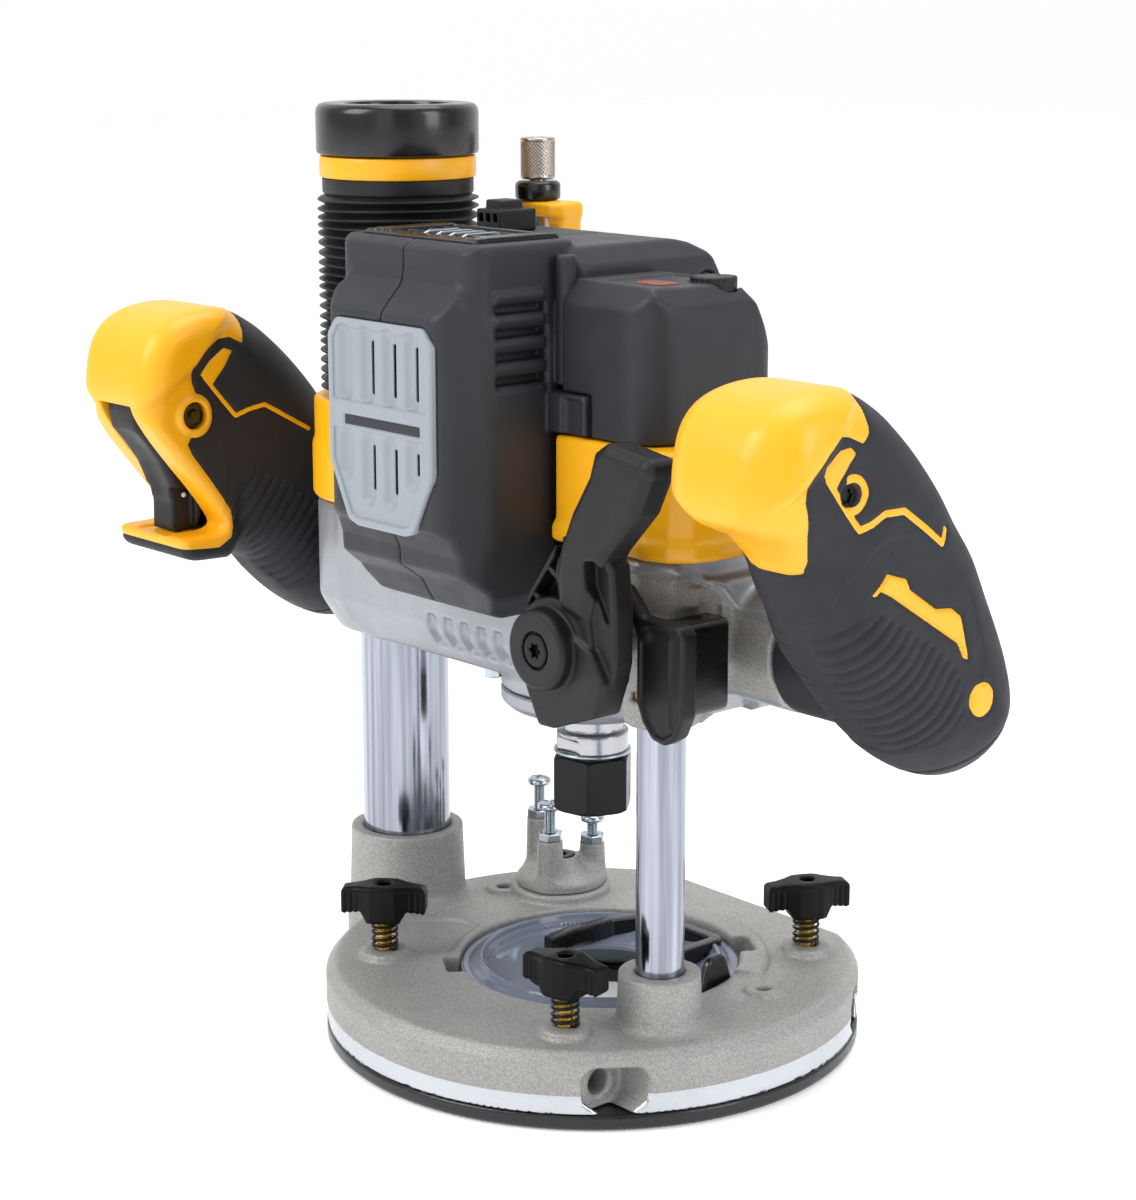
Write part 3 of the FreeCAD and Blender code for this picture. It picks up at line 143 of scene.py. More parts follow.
def inset(loop, r):
    """The loop moved inwards by r, corner by corner."""
    loop = np.array(loop, float)
    area = 0.5 * sum(loop[i - 1][0] * loop[i][1] - loop[i][0] * loop[i - 1][1] for i in range(len(loop)))
    s = 1.0 if area > 0 else -1.0
    out = []
    for i in range(len(loop)):
        a, b, c = loop[i - 1], loop[i], loop[(i + 1) % len(loop)]
        d1, d2 = (b - a) / np.linalg.norm(b - a), (c - b) / np.linalg.norm(c - b)
        n1, n2 = s * np.array([-d1[1], d1[0]]), s * np.array([-d2[1], d2[0]])
        m = n1 + n2
        m = m / max(np.linalg.norm(m), 1e-6)
        out.append(b + m * r / max(m @ n1, 0.35))
    return np.array(out)


def poly2_round(u, v, loop, r):
    return poly2(u, v, inset(loop, r)) - r


def u_(a, b, k=0.0):
    if k <= 0:
        return np.minimum(a, b)
    h = np.maximum(k - np.abs(a - b), 0) / k
    return np.minimum(a, b) - h * h * k * 0.25


def s_(a, b, k=0.0):
    return -u_(-a, b, k)


def i_(a, b, k=0.0):
    return -u_(-a, -b, k)


def seg2(u, v, pts):
    """Distance in the plane to an open polyline."""
    pts = np.array(pts, float)
    best = np.full(len(u), 1e18)
    for (ax, ay), (bx, by) in zip(pts[:-1], pts[1:]):
        ex, ey = bx - ax, by - ay
        k = np.clip(((u - ax) * ex + (v - ay) * ey) / (ex * ex + ey * ey), 0, 1)
        best = np.minimum(best, (u - ax - ex * k) ** 2 + (v - ay - ey * k) ** 2)
    return np.sqrt(best)


def spline(pts, n=8, closed=False):
    """Points along a smooth Catmull-Rom curve through pts."""
    pts = np.array(pts, float)
    m = len(pts)
    out = []
    for i in range(m if closed else m - 1):
        if closed:
            p0, p1, p2, p3 = pts[i - 1], pts[i], pts[(i + 1) % m], pts[(i + 2) % m]
        else:
            p0, p1, p2, p3 = pts[max(i - 1, 0)], pts[i], pts[i + 1], pts[min(i + 2, m - 1)]
        for j in range(n):
            t = j / float(n)
            out.append(0.5 * ((2 * p1) + (p2 - p0) * t + (2 * p0 - 5 * p1 + 4 * p2 - p3) * t * t + (3 * p1 - p0 - 3 * p2 + p3) * t ** 3))
    if not closed:
        out.append(pts[-1])
    return np.array(out)


def turn(p, c, axis, deg):
    """Points taken into a frame that is turned by deg about a row axis through c."""
    a = math.radians(-deg)
    q = p - np.array(c, float)
    i, j = [(1, 2), (2, 0), (0, 1)][axis]
    out = q.copy()
    out[:, i] = q[:, i] * math.cos(a) - q[:, j] * math.sin(a)
    out[:, j] = q[:, i] * math.sin(a) + q[:, j] * math.cos(a)
    return out + np.array(c, float)


def nets(f, lo, hi, h):
    """Turns a field into a mesh of quads: naive surface nets on a grid of step h, then each corner is moved onto the surface."""
    lo, hi = np.array(lo, float) - 2 * h, np.array(hi, float) + 2 * h
    B = 4
    nc = np.ceil((hi - lo) / (h * B)).astype(int) + 1
    g = [lo[i] + h * B * (np.arange(nc[i]) + 0.5) - h * 0.5 for i in range(3)]
    C = np.stack(np.meshgrid(*g, indexing="ij"), -1).reshape(-1, 3)
    fc = f(C).reshape(nc)
    near = np.abs(fc) < h * B * 1.25
    n = nc * B
    F = np.repeat(np.repeat(np.repeat(np.where(fc > 0, 1e3, -1e3), B, 0), B, 1), B, 2)
    act = np.repeat(np.repeat(np.repeat(near, B, 0), B, 1), B, 2)
    idx = np.argwhere(act)
    F[act] = f(lo + idx * h)
    F[np.abs(F) < 1e-9] = 1e-9
    inside = F < 0
    count = np.zeros(0)
    cells, pts = [], []
    quads = []
    dims = np.array(n) - 1

    def cid(ijk):
        return (ijk[:, 0] * dims[1] + ijk[:, 1]) * dims[2] + ijk[:, 2]

    faces = []
    for ax in range(3):
        sl0, sl1 = [slice(None)] * 3, [slice(None)] * 3
        sl0[ax], sl1[ax] = slice(0, -1), slice(1, None)
        a, b = inside[tuple(sl0)], inside[tuple(sl1)]
        e = np.argwhere(a != b)
        u, v = (ax + 1) % 3, (ax + 2) % 3
        ok = (e[:, u] > 0) & (e[:, v] > 0) & (e[:, u] < dims[u]) & (e[:, v] < dims[v])
        e = e[ok]
        if not len(e):
            continue
        e2 = e.copy()
        e2[:, ax] += 1
        f0, f1 = F[tuple(e.T)], F[tuple(e2.T)]
        big = (np.abs(f0) > 900) | (np.abs(f1) > 900)
        t = np.where(big, 0.5, f0 / np.where(f0 == f1, 1, f0 - f1))
        pos = e.astype(float)
        pos[:, ax] += t
        around = []
        for du, dv in ((0, 0), (-1, 0), (-1, -1), (0, -1)):
            c = e.copy()
            c[:, u] += du
            c[:, v] += dv
            k = cid(c)
            around.append(k)
            cells.append(k)
            pts.append(pos)
        q = np.stack(around, 1)
        neg = f0 < 0
        q[~neg] = q[~neg][:, ::-1]
        faces.append(q)
    cells, pts, faces = np.concatenate(cells), np.concatenate(pts), np.concatenate(faces)
    keys, inv = np.unique(cells, return_inverse=True)
    num = np.bincount(inv).astype(float)
    V = np.stack([np.bincount(inv, pts[:, i]) / num for i in range(3)], 1) * h + lo
    Q = np.searchsorted(keys, faces)
    for _ in range(3):
        V = project(f, V, h)
    return V, Q


def grad(f, V, eps):
    G = np.zeros_like(V)
    for i in range(3):
        d = np.zeros(3)
        d[i] = eps
        G[:, i] = (f(V + d) - f(V - d)) / (2 * eps)
    return G


def project(f, V, h):
    e = 0.08 * h
    d = f(V)
    G = grad(f, V, e)
    g2 = (G * G).sum(1)
    step = d[:, None] * G / np.maximum(g2, 0.2)[:, None]
    m = ln(step)
    step *= np.minimum(1, 0.45 * h / np.maximum(m, 1e-9))[:, None]
    return V - step


def cut_by(V, polys, field):
    """Cuts a mesh along the line where field is zero. Gives the polygons on the negative and on the positive side, over shared corners."""
    V = list(map(tuple, V))
    field = list(field)
    made = {}

    def crossing(a, b):
        key = (a, b) if a < b else (b, a)
        if key not in made:
            fa, fb = field[a], field[b]
            t = fa / (fa - fb)
            made[key] = len(V)
            V.append(tuple(V[a][i] + (V[b][i] - V[a][i]) * t for i in range(3)))
            field.append(0.0)
        return made[key]

    neg, pos = [], []
    fa = np.array(field)
    for q in polys:
        vals = [field[i] for i in q]
        if all(x <= 0 for x in vals):
            neg.append(list(q))
        elif all(x >= 0 for x in vals):
            pos.append(list(q))
        else:
            a, b = [], []
            for k in range(len(q)):
                i, j = q[k], q[(k + 1) % len(q)]
                if field[i] <= 0:
                    a.append(i)
                if field[i] >= 0:
                    b.append(i)
                if field[i] * field[j] < 0:
                    c = crossing(i, j)
                    a.append(c)
                    b.append(c)
            if len(a) > 2:
                neg.append(a)
            if len(b) > 2:
                pos.append(b)
    return np.array(V), neg, pos


def mesh_object(name, V, polys, material, body, nodes=(), slot=None, smooth=True, sharp=None):
    """A piece from corners in millimetres. It rides on its body and stands for the CAD nodes it is given."""
    polys = [list(map(int, q)) for q in polys]
    used = np.unique(np.concatenate([np.array(q) for q in polys]))
    remap = {int(k): i for i, k in enumerate(used)}
    m = bpy.data.meshes.new(name)
    m.from_pydata([tuple(V[k] * MM) for k in used], [], [[remap[k] for k in q] for q in polys])
    m.update()
    if smooth:
        m.polygons.foreach_set("use_smooth", [True] * len(m.polygons))
    o = bpy.data.objects.new(name, m)
    bpy.context.scene.collection.objects.link(o)
    m.materials.append(material)
    if sharp is not None:
        m.set_sharp_from_angle(angle=math.radians(sharp))
    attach(o, body)
    if nodes:
        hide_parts(*nodes)
    slot or material.get("slot")
    return o


def solid(name, f, lo, hi, h, material, body, nodes=(), **k):
    V, Q = nets(f, lo, hi, h)
    return mesh_object(name, V, Q, material, body, nodes, **k)


def two_tone(name, f, lo, hi, h, split, mats, body, nodes=((), ()), names=None):
    """One field, cut along a line into two pieces with a material each."""
    V, Q = nets(f, lo, hi, h)
    V2, neg, pos = cut_by(V, Q.tolist(), split(V))
    a = mesh_object(names[0], V2, neg, mats[0], body, nodes[0])
    b = mesh_object(names[1], V2, pos, mats[1], body, nodes[1])
    return a, b


def lathe(name, profile, centre, material, body, nodes=(), axis=2, segs=96, closed=False, sharp=35, **k):
    """A turned piece. profile is (radius, height) pairs in mm; centre is the two coordinates across the axis."""
    a, b = [i for i in range(3) if i != axis]
    if axis == 1:
        a, b = 2, 0
    V, polys = [], []
    n = len(profile)
    for r, z in profile:
        for j in range(segs):
            t = 2 * math.pi * j / segs
            p = [0.0] * 3
            p[a] = r * math.cos(t)
            p[b] = r * math.sin(t)
            p[axis] = z
            V.append(p)
    V = np.array(V)
    off = np.zeros(3)
    lowaxes = [i for i in range(3) if i != axis]
    off[lowaxes[0]], off[lowaxes[1]] = centre
    V = V + off
    rows = range(n if closed else n - 1)
    for i in rows:
        i2 = (i + 1) % n
        for j in range(segs):
            j2 = (j + 1) % segs
            polys.append([i * segs + j, i * segs + j2, i2 * segs + j2, i2 * segs + j])
    m = mesh_object(name, V, polys, material, body, nodes, sharp=sharp, **k)
    bm = bmesh.new()
    bm.from_mesh(m.data)
    bmesh.ops.remove_doubles(bm, verts=bm.verts, dist=1e-7)
    bmesh.ops.recalc_face_normals(bm, faces=bm.faces)
    bm.to_mesh(m.data)
    bm.free()
    m.data.polygons.foreach_set("use_smooth", [True] * len(m.data.polygons))
    m.data.set_sharp_from_angle(angle=math.radians(sharp))
    return m


def tube_along(name, pts, radius, material, body, nodes=(), segs=12, closed_ends=True, **k):
    """A round wire along points in mm."""
    pts = np.array(pts, float)
    V, polys = [], []
    up = np.array([0.0, 0.0, 1.0])
    n = len(pts)
    prev = None
    for i in range(n):
        d = pts[min(i + 1, n - 1)] - pts[max(i - 1, 0)]
        d /= np.linalg.norm(d)
        if prev is None:
            ref = np.array([1.0, 0, 0]) if abs(d[0]) < 0.8 else np.array([0, 1.0, 0])
            s = np.cross(d, ref)
        else:
            s = prev - d * (prev @ d)
        s /= np.linalg.norm(s)
        prev = s
        t = np.cross(d, s)
        rr = radius[i] if hasattr(radius, "__len__") else radius
        for j in range(segs):
            a = 2 * math.pi * j / segs
            V.append(pts[i] + rr * (s * math.cos(a) + t * math.sin(a)))
    for i in range(n - 1):
        for j in range(segs):
            j2 = (j + 1) % segs
            polys.append([i * segs + j, i * segs + j2, (i + 1) * segs + j2, (i + 1) * segs + j])
    if closed_ends:
        polys.append(list(range(segs))[::-1])
        polys.append([(n - 1) * segs + j for j in range(segs)])
    o = mesh_object(name, np.array(V), polys, material, body, nodes, **k)
    bm = bmesh.new()
    bm.from_mesh(o.data)
    bmesh.ops.recalc_face_normals(bm, faces=bm.faces)
    bm.to_mesh(o.data)
    bm.free()
    o.data.polygons.foreach_set("use_smooth", [True] * len(o.data.polygons))
    o.data.set_sharp_from_angle(angle=math.radians(50))
    return o

# ------------------------------------------------------------------ materials
def lin(r, g, b):
    return tuple(((c / 255.0) / 12.92 if c / 255.0 <= 0.04045 else ((c / 255.0 + 0.055) / 1.055) ** 2.4) for c in (r, g, b)) + (1.0,)


def material(name, slot, colour, rough=0.5, metal=0.0, grain=None, blotch=0.05, rough_var=0.06, wear_and_sheen=0.0, coat=0.0, streak=None, spec=0.5, speckle=0.0, **sockets):
    """A surface made of nodes: fine bump grain, slow colour variation, uneven gloss, and lighter edges where asked,
    partly wear and partly painted sheen.
    """
    m = bpy.data.materials.new(name)
    m.use_nodes = True
    m["slot"] = slot
    nt = m.node_tree
    N, L = nt.nodes, nt.links
    bsdf = N["Principled BSDF"]
    bsdf.inputs["Metallic"].default_value = metal
    bsdf.inputs["Specular IOR Level"].default_value = spec
    bsdf.inputs["Coat Weight"].default_value = coat
    bsdf.inputs["Coat Roughness"].default_value = 0.12
    for k, v in sockets.items():
        bsdf.inputs[k.replace("_", " ")].default_value = v
    tc = N.new("ShaderNodeTexCoord")
    base = lin(*colour)
    slow = N.new("ShaderNodeTexNoise")
    slow.inputs["Scale"].default_value = 55.0
    slow.inputs["Detail"].default_value = 5.0
    slow.inputs["Roughness"].default_value = 0.6
    L.new(tc.outputs["Object"], slow.inputs["Vector"])
    ramp = N.new("ShaderNodeValToRGB")
    ramp.color_ramp.elements[0].position = 0.3
    ramp.color_ramp.elements[1].position = 0.7
    ramp.color_ramp.elements[0].color = tuple(c * (1 - blotch) for c in base[:3]) + (1,)
    ramp.color_ramp.elements[1].color = tuple(min(1, c * (1 + blotch)) for c in base[:3]) + (1,)
    L.new(slow.outputs["Fac"], ramp.inputs["Fac"])
    colour_out = ramp.outputs["Color"]
    fine = None
    if grain:
        size, strength, depth = grain
        fine = N.new("ShaderNodeTexNoise")
        fine.inputs["Scale"].default_value = 1.0 / (size * MM)
        fine.inputs["Detail"].default_value = 3.0
        fine.inputs["Roughness"].default_value = 0.55
        if streak is not None:
            mp = N.new("ShaderNodeMapping")
            mp.inputs["Scale"].default_value = streak
            L.new(tc.outputs["Object"], mp.inputs["Vector"])
            L.new(mp.outputs["Vector"], fine.inputs["Vector"])
        else:
            L.new(tc.outputs["Object"], fine.inputs["Vector"])
        bump = N.new("ShaderNodeBump")
        bump.inputs["Strength"].default_value = strength
        bump.inputs["Distance"].default_value = depth * MM
        L.new(fine.outputs["Fac"], bump.inputs["Height"])
        L.new(bump.outputs["Normal"], bsdf.inputs["Normal"])
        if speckle:
            sp = N.new("ShaderNodeValToRGB")
            sp.color_ramp.elements[0].position = 0.35
            sp.color_ramp.elements[1].position = 0.65
            sp.color_ramp.elements[0].color = (1 - speckle,) * 3 + (1,)
            sp.color_ramp.elements[1].color = (1 + speckle,) * 3 + (1,)
            L.new(fine.outputs["Fac"], sp.inputs["Fac"])
            mul = N.new("ShaderNodeMixRGB")
            mul.blend_type = "MULTIPLY"
            mul.inputs["Fac"].default_value = 1.0
            L.new(colour_out, mul.inputs["Color1"])
            L.new(sp.outputs["Color"], mul.inputs["Color2"])
            colour_out = mul.outputs["Color"]
    # painted sheen: edges picked out by pointiness are lightened in colour, partly as wear and partly standing in for
    # the sheen light gives on edges
    if wear_and_sheen:
        geo = N.new("ShaderNodeNewGeometry")
        edge = N.new("ShaderNodeValToRGB")
        edge.color_ramp.elements[0].position = 0.52
        edge.color_ramp.elements[1].position = 0.60
        L.new(geo.outputs["Pointiness"], edge.inputs["Fac"])
        mix = N.new("ShaderNodeMixRGB")
        mix.blend_type = "MIX"
        fac = N.new("ShaderNodeMath")
        fac.operation = "MULTIPLY"
        fac.inputs[1].default_value = wear_and_sheen
        L.new(edge.outputs["Color"], fac.inputs[0])
        L.new(fac.outputs["Value"], mix.inputs["Fac"])
        L.new(colour_out, mix.inputs["Color1"])
        mix.inputs["Color2"].default_value = tuple(min(1, c * 1.9 + 0.03) for c in base[:3]) + (1,)
        colour_out = mix.outputs["Color"]
    L.new(colour_out, bsdf.inputs["Base Color"])
    rv = N.new("ShaderNodeMapRange")
    rv.inputs["From Min"].default_value = 0.3
    rv.inputs["From Max"].default_value = 0.7
    rv.inputs["To Min"].default_value = max(0.02, rough - rough_var)
    rv.inputs["To Max"].default_value = min(1.0, rough + rough_var)
    second = N.new("ShaderNodeTexNoise")
    second.inputs["Scale"].default_value = 140.0
    second.inputs["Detail"].default_value = 6.0
    L.new(tc.outputs["Object"], second.inputs["Vector"])
    L.new(second.outputs["Fac"], rv.inputs["Value"])
    L.new(rv.outputs["Result"], bsdf.inputs["Roughness"])
    return m


YELLOW = material("moulded_yellow", "yellow_plastic", (250, 178, 6), rough=0.42, grain=(0.35, 0.12, 0.08), blotch=0.025, rough_var=0.05, coat=0.12)
# the edge lightening on these plastics is partly wear and partly painted sheen
DARK = material("moulded_dark", "dark_plastic", (40, 41, 46), spec=0.4, rough=0.50, grain=(0.3, 0.35, 0.10), blotch=0.06, wear_and_sheen=0.25)
BLACK = material("moulded_black", "black_plastic", (17, 17, 18), spec=0.38, rough=0.50, grain=(0.3, 0.3, 0.10), blotch=0.08, wear_and_sheen=0.15)
GLOSS = material("satin_black", "black_gloss", (13, 13, 15), spec=0.45, rough=0.26, grain=(0.6, 0.05, 0.05), blotch=0.08, coat=0.2)
KNOB = material("moulded_knob", "black_plastic", (7, 7, 8), spec=0.16, rough=0.40, grain=(0.3, 0.25, 0.10), blotch=0.08, wear_and_sheen=0.12)
RUBBER = material("soft_overmould", "grip_rubber", (33, 35, 39), spec=0.35, rough=0.62, grain=(0.25, 0.45, 0.10), blotch=0.07, wear_and_sheen=0.12)
BELLOWS = material("bellows_rubber", "bellows_rubber", (19, 19, 21), spec=0.4, rough=0.46, grain=(0.5, 0.2, 0.08), blotch=0.08)
GREY = material("moulded_grey", "grey_plastic", (148, 155, 161), rough=0.45, grain=(0.3, 0.25, 0.08), blotch=0.03)
CAST = material("grained_casting", "cast_grey", (161, 160, 156), rough=0.50, metal=0.35, grain=(0.6, 0.8, 0.26), blotch=0.04, speckle=0.22, spec=0.45)
SILVER = material("silver_casting", "cast_silver", (160, 163, 167), rough=0.40, metal=0.5, grain=(0.45, 0.4, 0.14), blotch=0.05, speckle=0.08, spec=0.45)
MACHINED = material("machined_band", "cast_grey", (204, 207, 212), rough=0.24, metal=0.95, grain=(0.25, 0.12, 0.05), blotch=0.03, streak=(1.0, 1.0, 30.0))
CHROME = material("hard_chrome", "chrome_tube", (156, 160, 171), rough=0.15, metal=1.0, grain=(3.2, 0.10, 0.03), blotch=0.02, streak=(1.0, 1.0, 0.02), rough_var=0.03, speckle=0.30)
STEEL = material("ground_steel", "bright_steel", (176, 177, 180), rough=0.26, metal=1.0, grain=(0.3, 0.10, 0.05), blotch=0.04)
ZINC = material("zinc_plate", "zinc_steel", (182, 190, 196), rough=0.24, metal=1.0, grain=(0.4, 0.10, 0.05), blotch=0.06)
OXIDE = material("black_oxide", "black_steel", (30, 30, 31), rough=0.36, metal=0.7, grain=(0.4, 0.12, 0.06), blotch=0.10)
BRASS = material("turned_brass", "brass_screw", (222, 198, 130), rough=0.26, metal=1.0, grain=(0.3, 0.12, 0.05), blotch=0.06)
BRONZE = material("sintered_bronze", "bronze_bush", (150, 110, 70), rough=0.5, metal=1.0, grain=(0.3, 0.3, 0.1))
KNURLED = material("knurled_nickel", "knurled_steel", (176, 168, 158), rough=0.30, metal=1.0, grain=(0.3, 0.1, 0.05), blotch=0.05)
SOLE = material("sole_phenolic", "sole_black", (22, 22, 24), rough=0.30, grain=(0.6, 0.08, 0.05), blotch=0.08, coat=0.1)
COPPER = material("wound_core", "copper_core", (130, 80, 46), rough=0.45, metal=0.6, grain=(0.8, 0.6, 0.3))
LAMINATED = material("laminated_rotor", "rotor_steel", (110, 110, 114), rough=0.42, metal=0.9, grain=(0.5, 0.5, 0.2), streak=(0.05, 0.05, 1.0))
WHITE = material("white_mark", "grey_plastic", (226, 228, 228), rough=0.5, grain=(0.3, 0.1, 0.05), blotch=0.02)
AMBER = material("amber_dial_mark", "yellow_plastic", (128, 56, 32), rough=0.4, grain=(0.3, 0.1, 0.05), blotch=0.03)

SMOKE = bpy.data.materials.new("smoky_clear")
SMOKE.use_nodes = True
SMOKE["slot"] = "smoke_clear"


def smoke_nodes():
    nt = SMOKE.node_tree
    N, L = nt.nodes, nt.links
    b = N["Principled BSDF"]
    b.inputs["Transmission Weight"].default_value = 0.35
    b.inputs["IOR"].default_value = 1.45
    b.inputs["Base Color"].default_value = lin(138, 147, 165)
    tc = N.new("ShaderNodeTexCoord")
    n = N.new("ShaderNodeTexNoise")
    n.inputs["Scale"].default_value = 220.0
    L.new(tc.outputs["Object"], n.inputs["Vector"])
    r = N.new("ShaderNodeMapRange")
    r.inputs["To Min"].default_value = 0.03
    r.inputs["To Max"].default_value = 0.12
    L.new(n.outputs["Fac"], r.inputs["Value"])
    L.new(r.outputs["Result"], b.inputs["Roughness"])


smoke_nodes()

# ------------------------------------------------------------------ motor housing
SEAM = [(-30, 267.2), (-71.9, 267.2), (-76.4, 264.4), (-76.2, 255.0), (-85.3, 245.2), (-85.3, 183.0), (-81.6, 180.4), (-79.1, 174.9), (-78.7, 169.4), (-70.4, 163.5), (-65.8, 155.9), (-60, 153.3), (-40.8, 153.3), (-40.8, 216), (-30, 216)]
REAR = [(-44, 211.0), (-44, 264.8), (3, 264.8), (9.6, 263.2), (14.8, 260.4), (18.4, 254.4), (23.4, 244.7), (41.6, 225), (41.6, 213), (40, 211.0)]


def housing_field(p):
    yz = i_(f_prism(p, SEAM, -60, 60, axis=0, rnd=1.6), f_prism(p, [(-32.6, -76.4), (32.6, -76.4), (32.6, -34), (-32.6, -34)], 214, 267.2, rnd=7.0, edge=2.2), 1.5)
    low = f_prism(p, [(-26.5, -85.3), (26.5, -85.3), (34, -68), (34, -40.9), (-34, -40.9), (-34, -68)], 150, 262, rnd=7.5, edge=1)
    low = i_(low, f_prism(p, SEAM, -60, 60, axis=0, rnd=1.6), 1.6)
    front = [(-34, 180), (-31.6, 161), (-26, 153.3), (26, 153.3), (31.6, 161), (34, 180), (34, 239), (30.5, 250), (24, 257), (-24, 257), (-30.5, 250), (-34, 239)]
    low = i_(low, f_prism(p, front, -100, -20, axis=1, rnd=3.0), 1.6)
    f = u_(yz, low, 2.0)
    box = i_(f_prism(p, REAR, -60, 60, axis=0, rnd=2.0), f_prism(p, [(-38, 200), (38, 200), (38, 258.4), (32, 264.8), (-32, 264.8), (-38, 258.4)], -60, 60, axis=1, rnd=1.6), 1.2)
    box = i_(box, f_prism(p, [(-38, -40.6), (38, -40.6), (38, 41.6), (-38, 41.6)], 190, 280, rnd=5.0, edge=1), 1.0)
    f = u_(f, box, 0.6)
    lower = f_box(p, (-35.9, -35.8, 172), (35.9, 39.8, 216), 3)
    f = u_(f, lower, 0.5)
    # moulded bead with its screw boss, and the step block in front of the control housing
    f = u_(f, f_cyl(p, (36.0, -43.4), 3.0, 224.5, 263.0, rnd=1.0), 0.8)
    f = u_(f, f_box(p, (30, -49.2, 210.8), (50.6, -42, 222.8), 1.3), 0.5)
    f = s_(f, f_box(p, (40.5, -52, 208), (49.0, -47.8, 221.5), 1.0), 0.8)
    # side louvres, both sides
    x = np.abs(p[:, 0])
    q = np.stack([x, p[:, 1], p[:, 2]], 1)
    f = s_(f, f_box(q, (32.6, -68.5, 222.8), (40, -47.6, 251.6), 1.6), 0.8)
    for k in range(5):
        z = 223.4 + 7.0 * k
        rib = f_cyl(q, (31.6, z), 2.15, -68.6, -49.4, axis=1, rnd=0.6)
        f = u_(f, rib, 0.7)
    for k in range(4):
        z = 226.9 + 7.0 * k
        f = s_(f, f_box(q, (29.2, -67.6, z - 1.35), (36, -48.6, z + 1.35), 0.6), 0.5)
    # seat of the front grille
    f = s_(f, f_prism(p, [(-a, b) for a, b in GRILLE_LOOP], -95, -83.0, axis=1, rnd=2.0, edge=0.3), 0.5)
    # screw seats
    f = s_(f, f_cyl(q, (13.2, 250.0), 4.6, 35.6, 60, axis=0, rnd=0.4), 0.8)
    # battery seat in the roof
    f = s_(f, f_box(p, (-26.6, -71.0, 265.9), (26.6, -37, 280), 1.0), 0.5)
    return f


GRILLE_LOOP = [(-11.5, 180.2), (11.5, 180.2), (16, 181.6), (24.8, 199), (25.0, 202), (25.0, 238), (21, 243.0), (-21, 243.0), (-25.0, 238), (-25.0, 202), (-24.8, 199), (-16, 181.6)]


def half_of(sign):
    def f(p):
        return i_(housing_field(p), 0.22 - sign * p[:, 0], 0.7)
    return f


solid("case_half_left", half_of(-1), (-39, -86, 152), (0.5, 43, 268), 0.85, DARK, "carriage", ["motor_housing_left"])
solid("case_half_right", half_of(1), (-0.5, -86, 152), (52, 43, 268), 0.85, DARK, "carriage", ["motor_housing_right"])


# ------------------------------------------------------------------ front grille
def grille_field(p):
    f = f_prism(p, GRILLE_LOOP, -86.2, -83.2, axis=1, rnd=3.2, edge=0.9)
    rim = poly2_round(p[:, 0], p[:, 2], GRILLE_LOOP, 3.2)
    # the face sits a little lower than the rounded rim
    f = s_(f, i_(i_(rim + 2.6, p[:, 1] + 85.4), np.maximum(p[:, 2] - 242, 180 - p[:, 2])), 0.5)
    for n, x in enumerate((-17.0, -6.0, 4.6, 15.2)):
        # scooped channels, each with its vent at the right-hand side
        f = s_(f, f_capsule(p, (x, -88.1, 220.5), (x, -88.1, 238.0), 4.2), 0.8)
        low = (197.5 if n == 0 else 190.5 if n < 3 else 197.5)
        f = s_(f, f_capsule(p, (x, -88.1, low), (x, -88.1, 206.4), 4.2), 0.8)
        if n:
            f = s_(f, f_box(p, (x + 0.3, -90, 221.0), (x + 3.3, -80, 237.0), 0.3))
            f = s_(f, f_box(p, (x + 0.3, -90, low + 1.5), (x + 3.3, -80, 205.5), 0.3))
    # raised middle band and its bare dark strip
    f = u_(f, i_(f_box(p, (-24, -86.0, 209.6), (24, -83.5, 218.2), 0.6), rim + 0.8), 0.3)
    f = s_(f, f_box(p, (-17.5, -88, 210.6), (19.5, -85.5, 214.2), 0.5), 0.2)
    return f


# painted shade: a thin darker sheet behind the grille slots stands in for the shade inside the vents
solid("grille_painted_shade_sheet", lambda p: f_prism(p, [(-22, 188), (-12, 183), (12, 183), (22, 196), (23, 239), (-22, 240)], -83.1, -82.6, axis=1, rnd=1.0, edge=0.2), (-24, -83.4, 182), (24, -82.3, 241), 0.5, SOLE, "carriage")
solid("front_grille", grille_field, (-26, -87, 179), (26, -82, 244), 0.45, GREY, "carriage", ["vent_grille"])
solid("grille_blank_strip", lambda p: f_box(p, (-17.2, -85.8, 210.9), (19.2, -84.8, 213.9), 0.35), (-18, -86.2, 210), (20, -84.4, 215), 0.35, DARK, "carriage")


# ------------------------------------------------------------------ control housing
def control_field(p):
    f = f_prism(p, [(14, -47.4), (76.9, -47.4), (76.9, 7.9), (14, 7.9)], 210.6, 270, rnd=13.0, edge=1)
    f = i_(f, f_prism(p, [(-60, 200), (-60, 262), (76.9 - 6, 256), (76.9, 249), (76.9, 200)], -80, 60, axis=1, rnd=1.5), 1.5)
    f = i_(f, f_prism(p, [(-47.4, 200), (-47.4, 249), (-41.5, 256), (-8, 256.0), (1.5, 240), (8, 231), (8, 200)], -60, 90, axis=0, rnd=1.5), 1.5)
    f = i_(f, p[:, 2] * -1 + 210.6)
    f = s_(f, f_box(p, (10, -60, 190), (38.2, 60, 300), 0.0))
    # well above the hollow guide column, which rises into it at full plunge
    f = s_(f, f_cyl(p, (60.2, -26.1), 9.0, 190, 246.2, rnd=0.3))
    f = s_(f, f_box(p, (0, -60, 190), (51.0, -44.3, 223.2), 0.5), 0.3)
    # control panel sunk into the roof
    f = s_(f, f_prism(p, [(48, -38), (68, -38), (72, -32), (72, -9), (46, -9), (46, -34)], 255.2, 262, rnd=2.0, edge=0.4), 0.3)
    f = s_(f, f_cyl(p, (66.0, -12.0), 7.4, 248, 270))
    return f


solid("control_case", control_field, (37, -48, 210), (78, 9, 257), 0.8, DARK, "carriage", ["control_housing"])

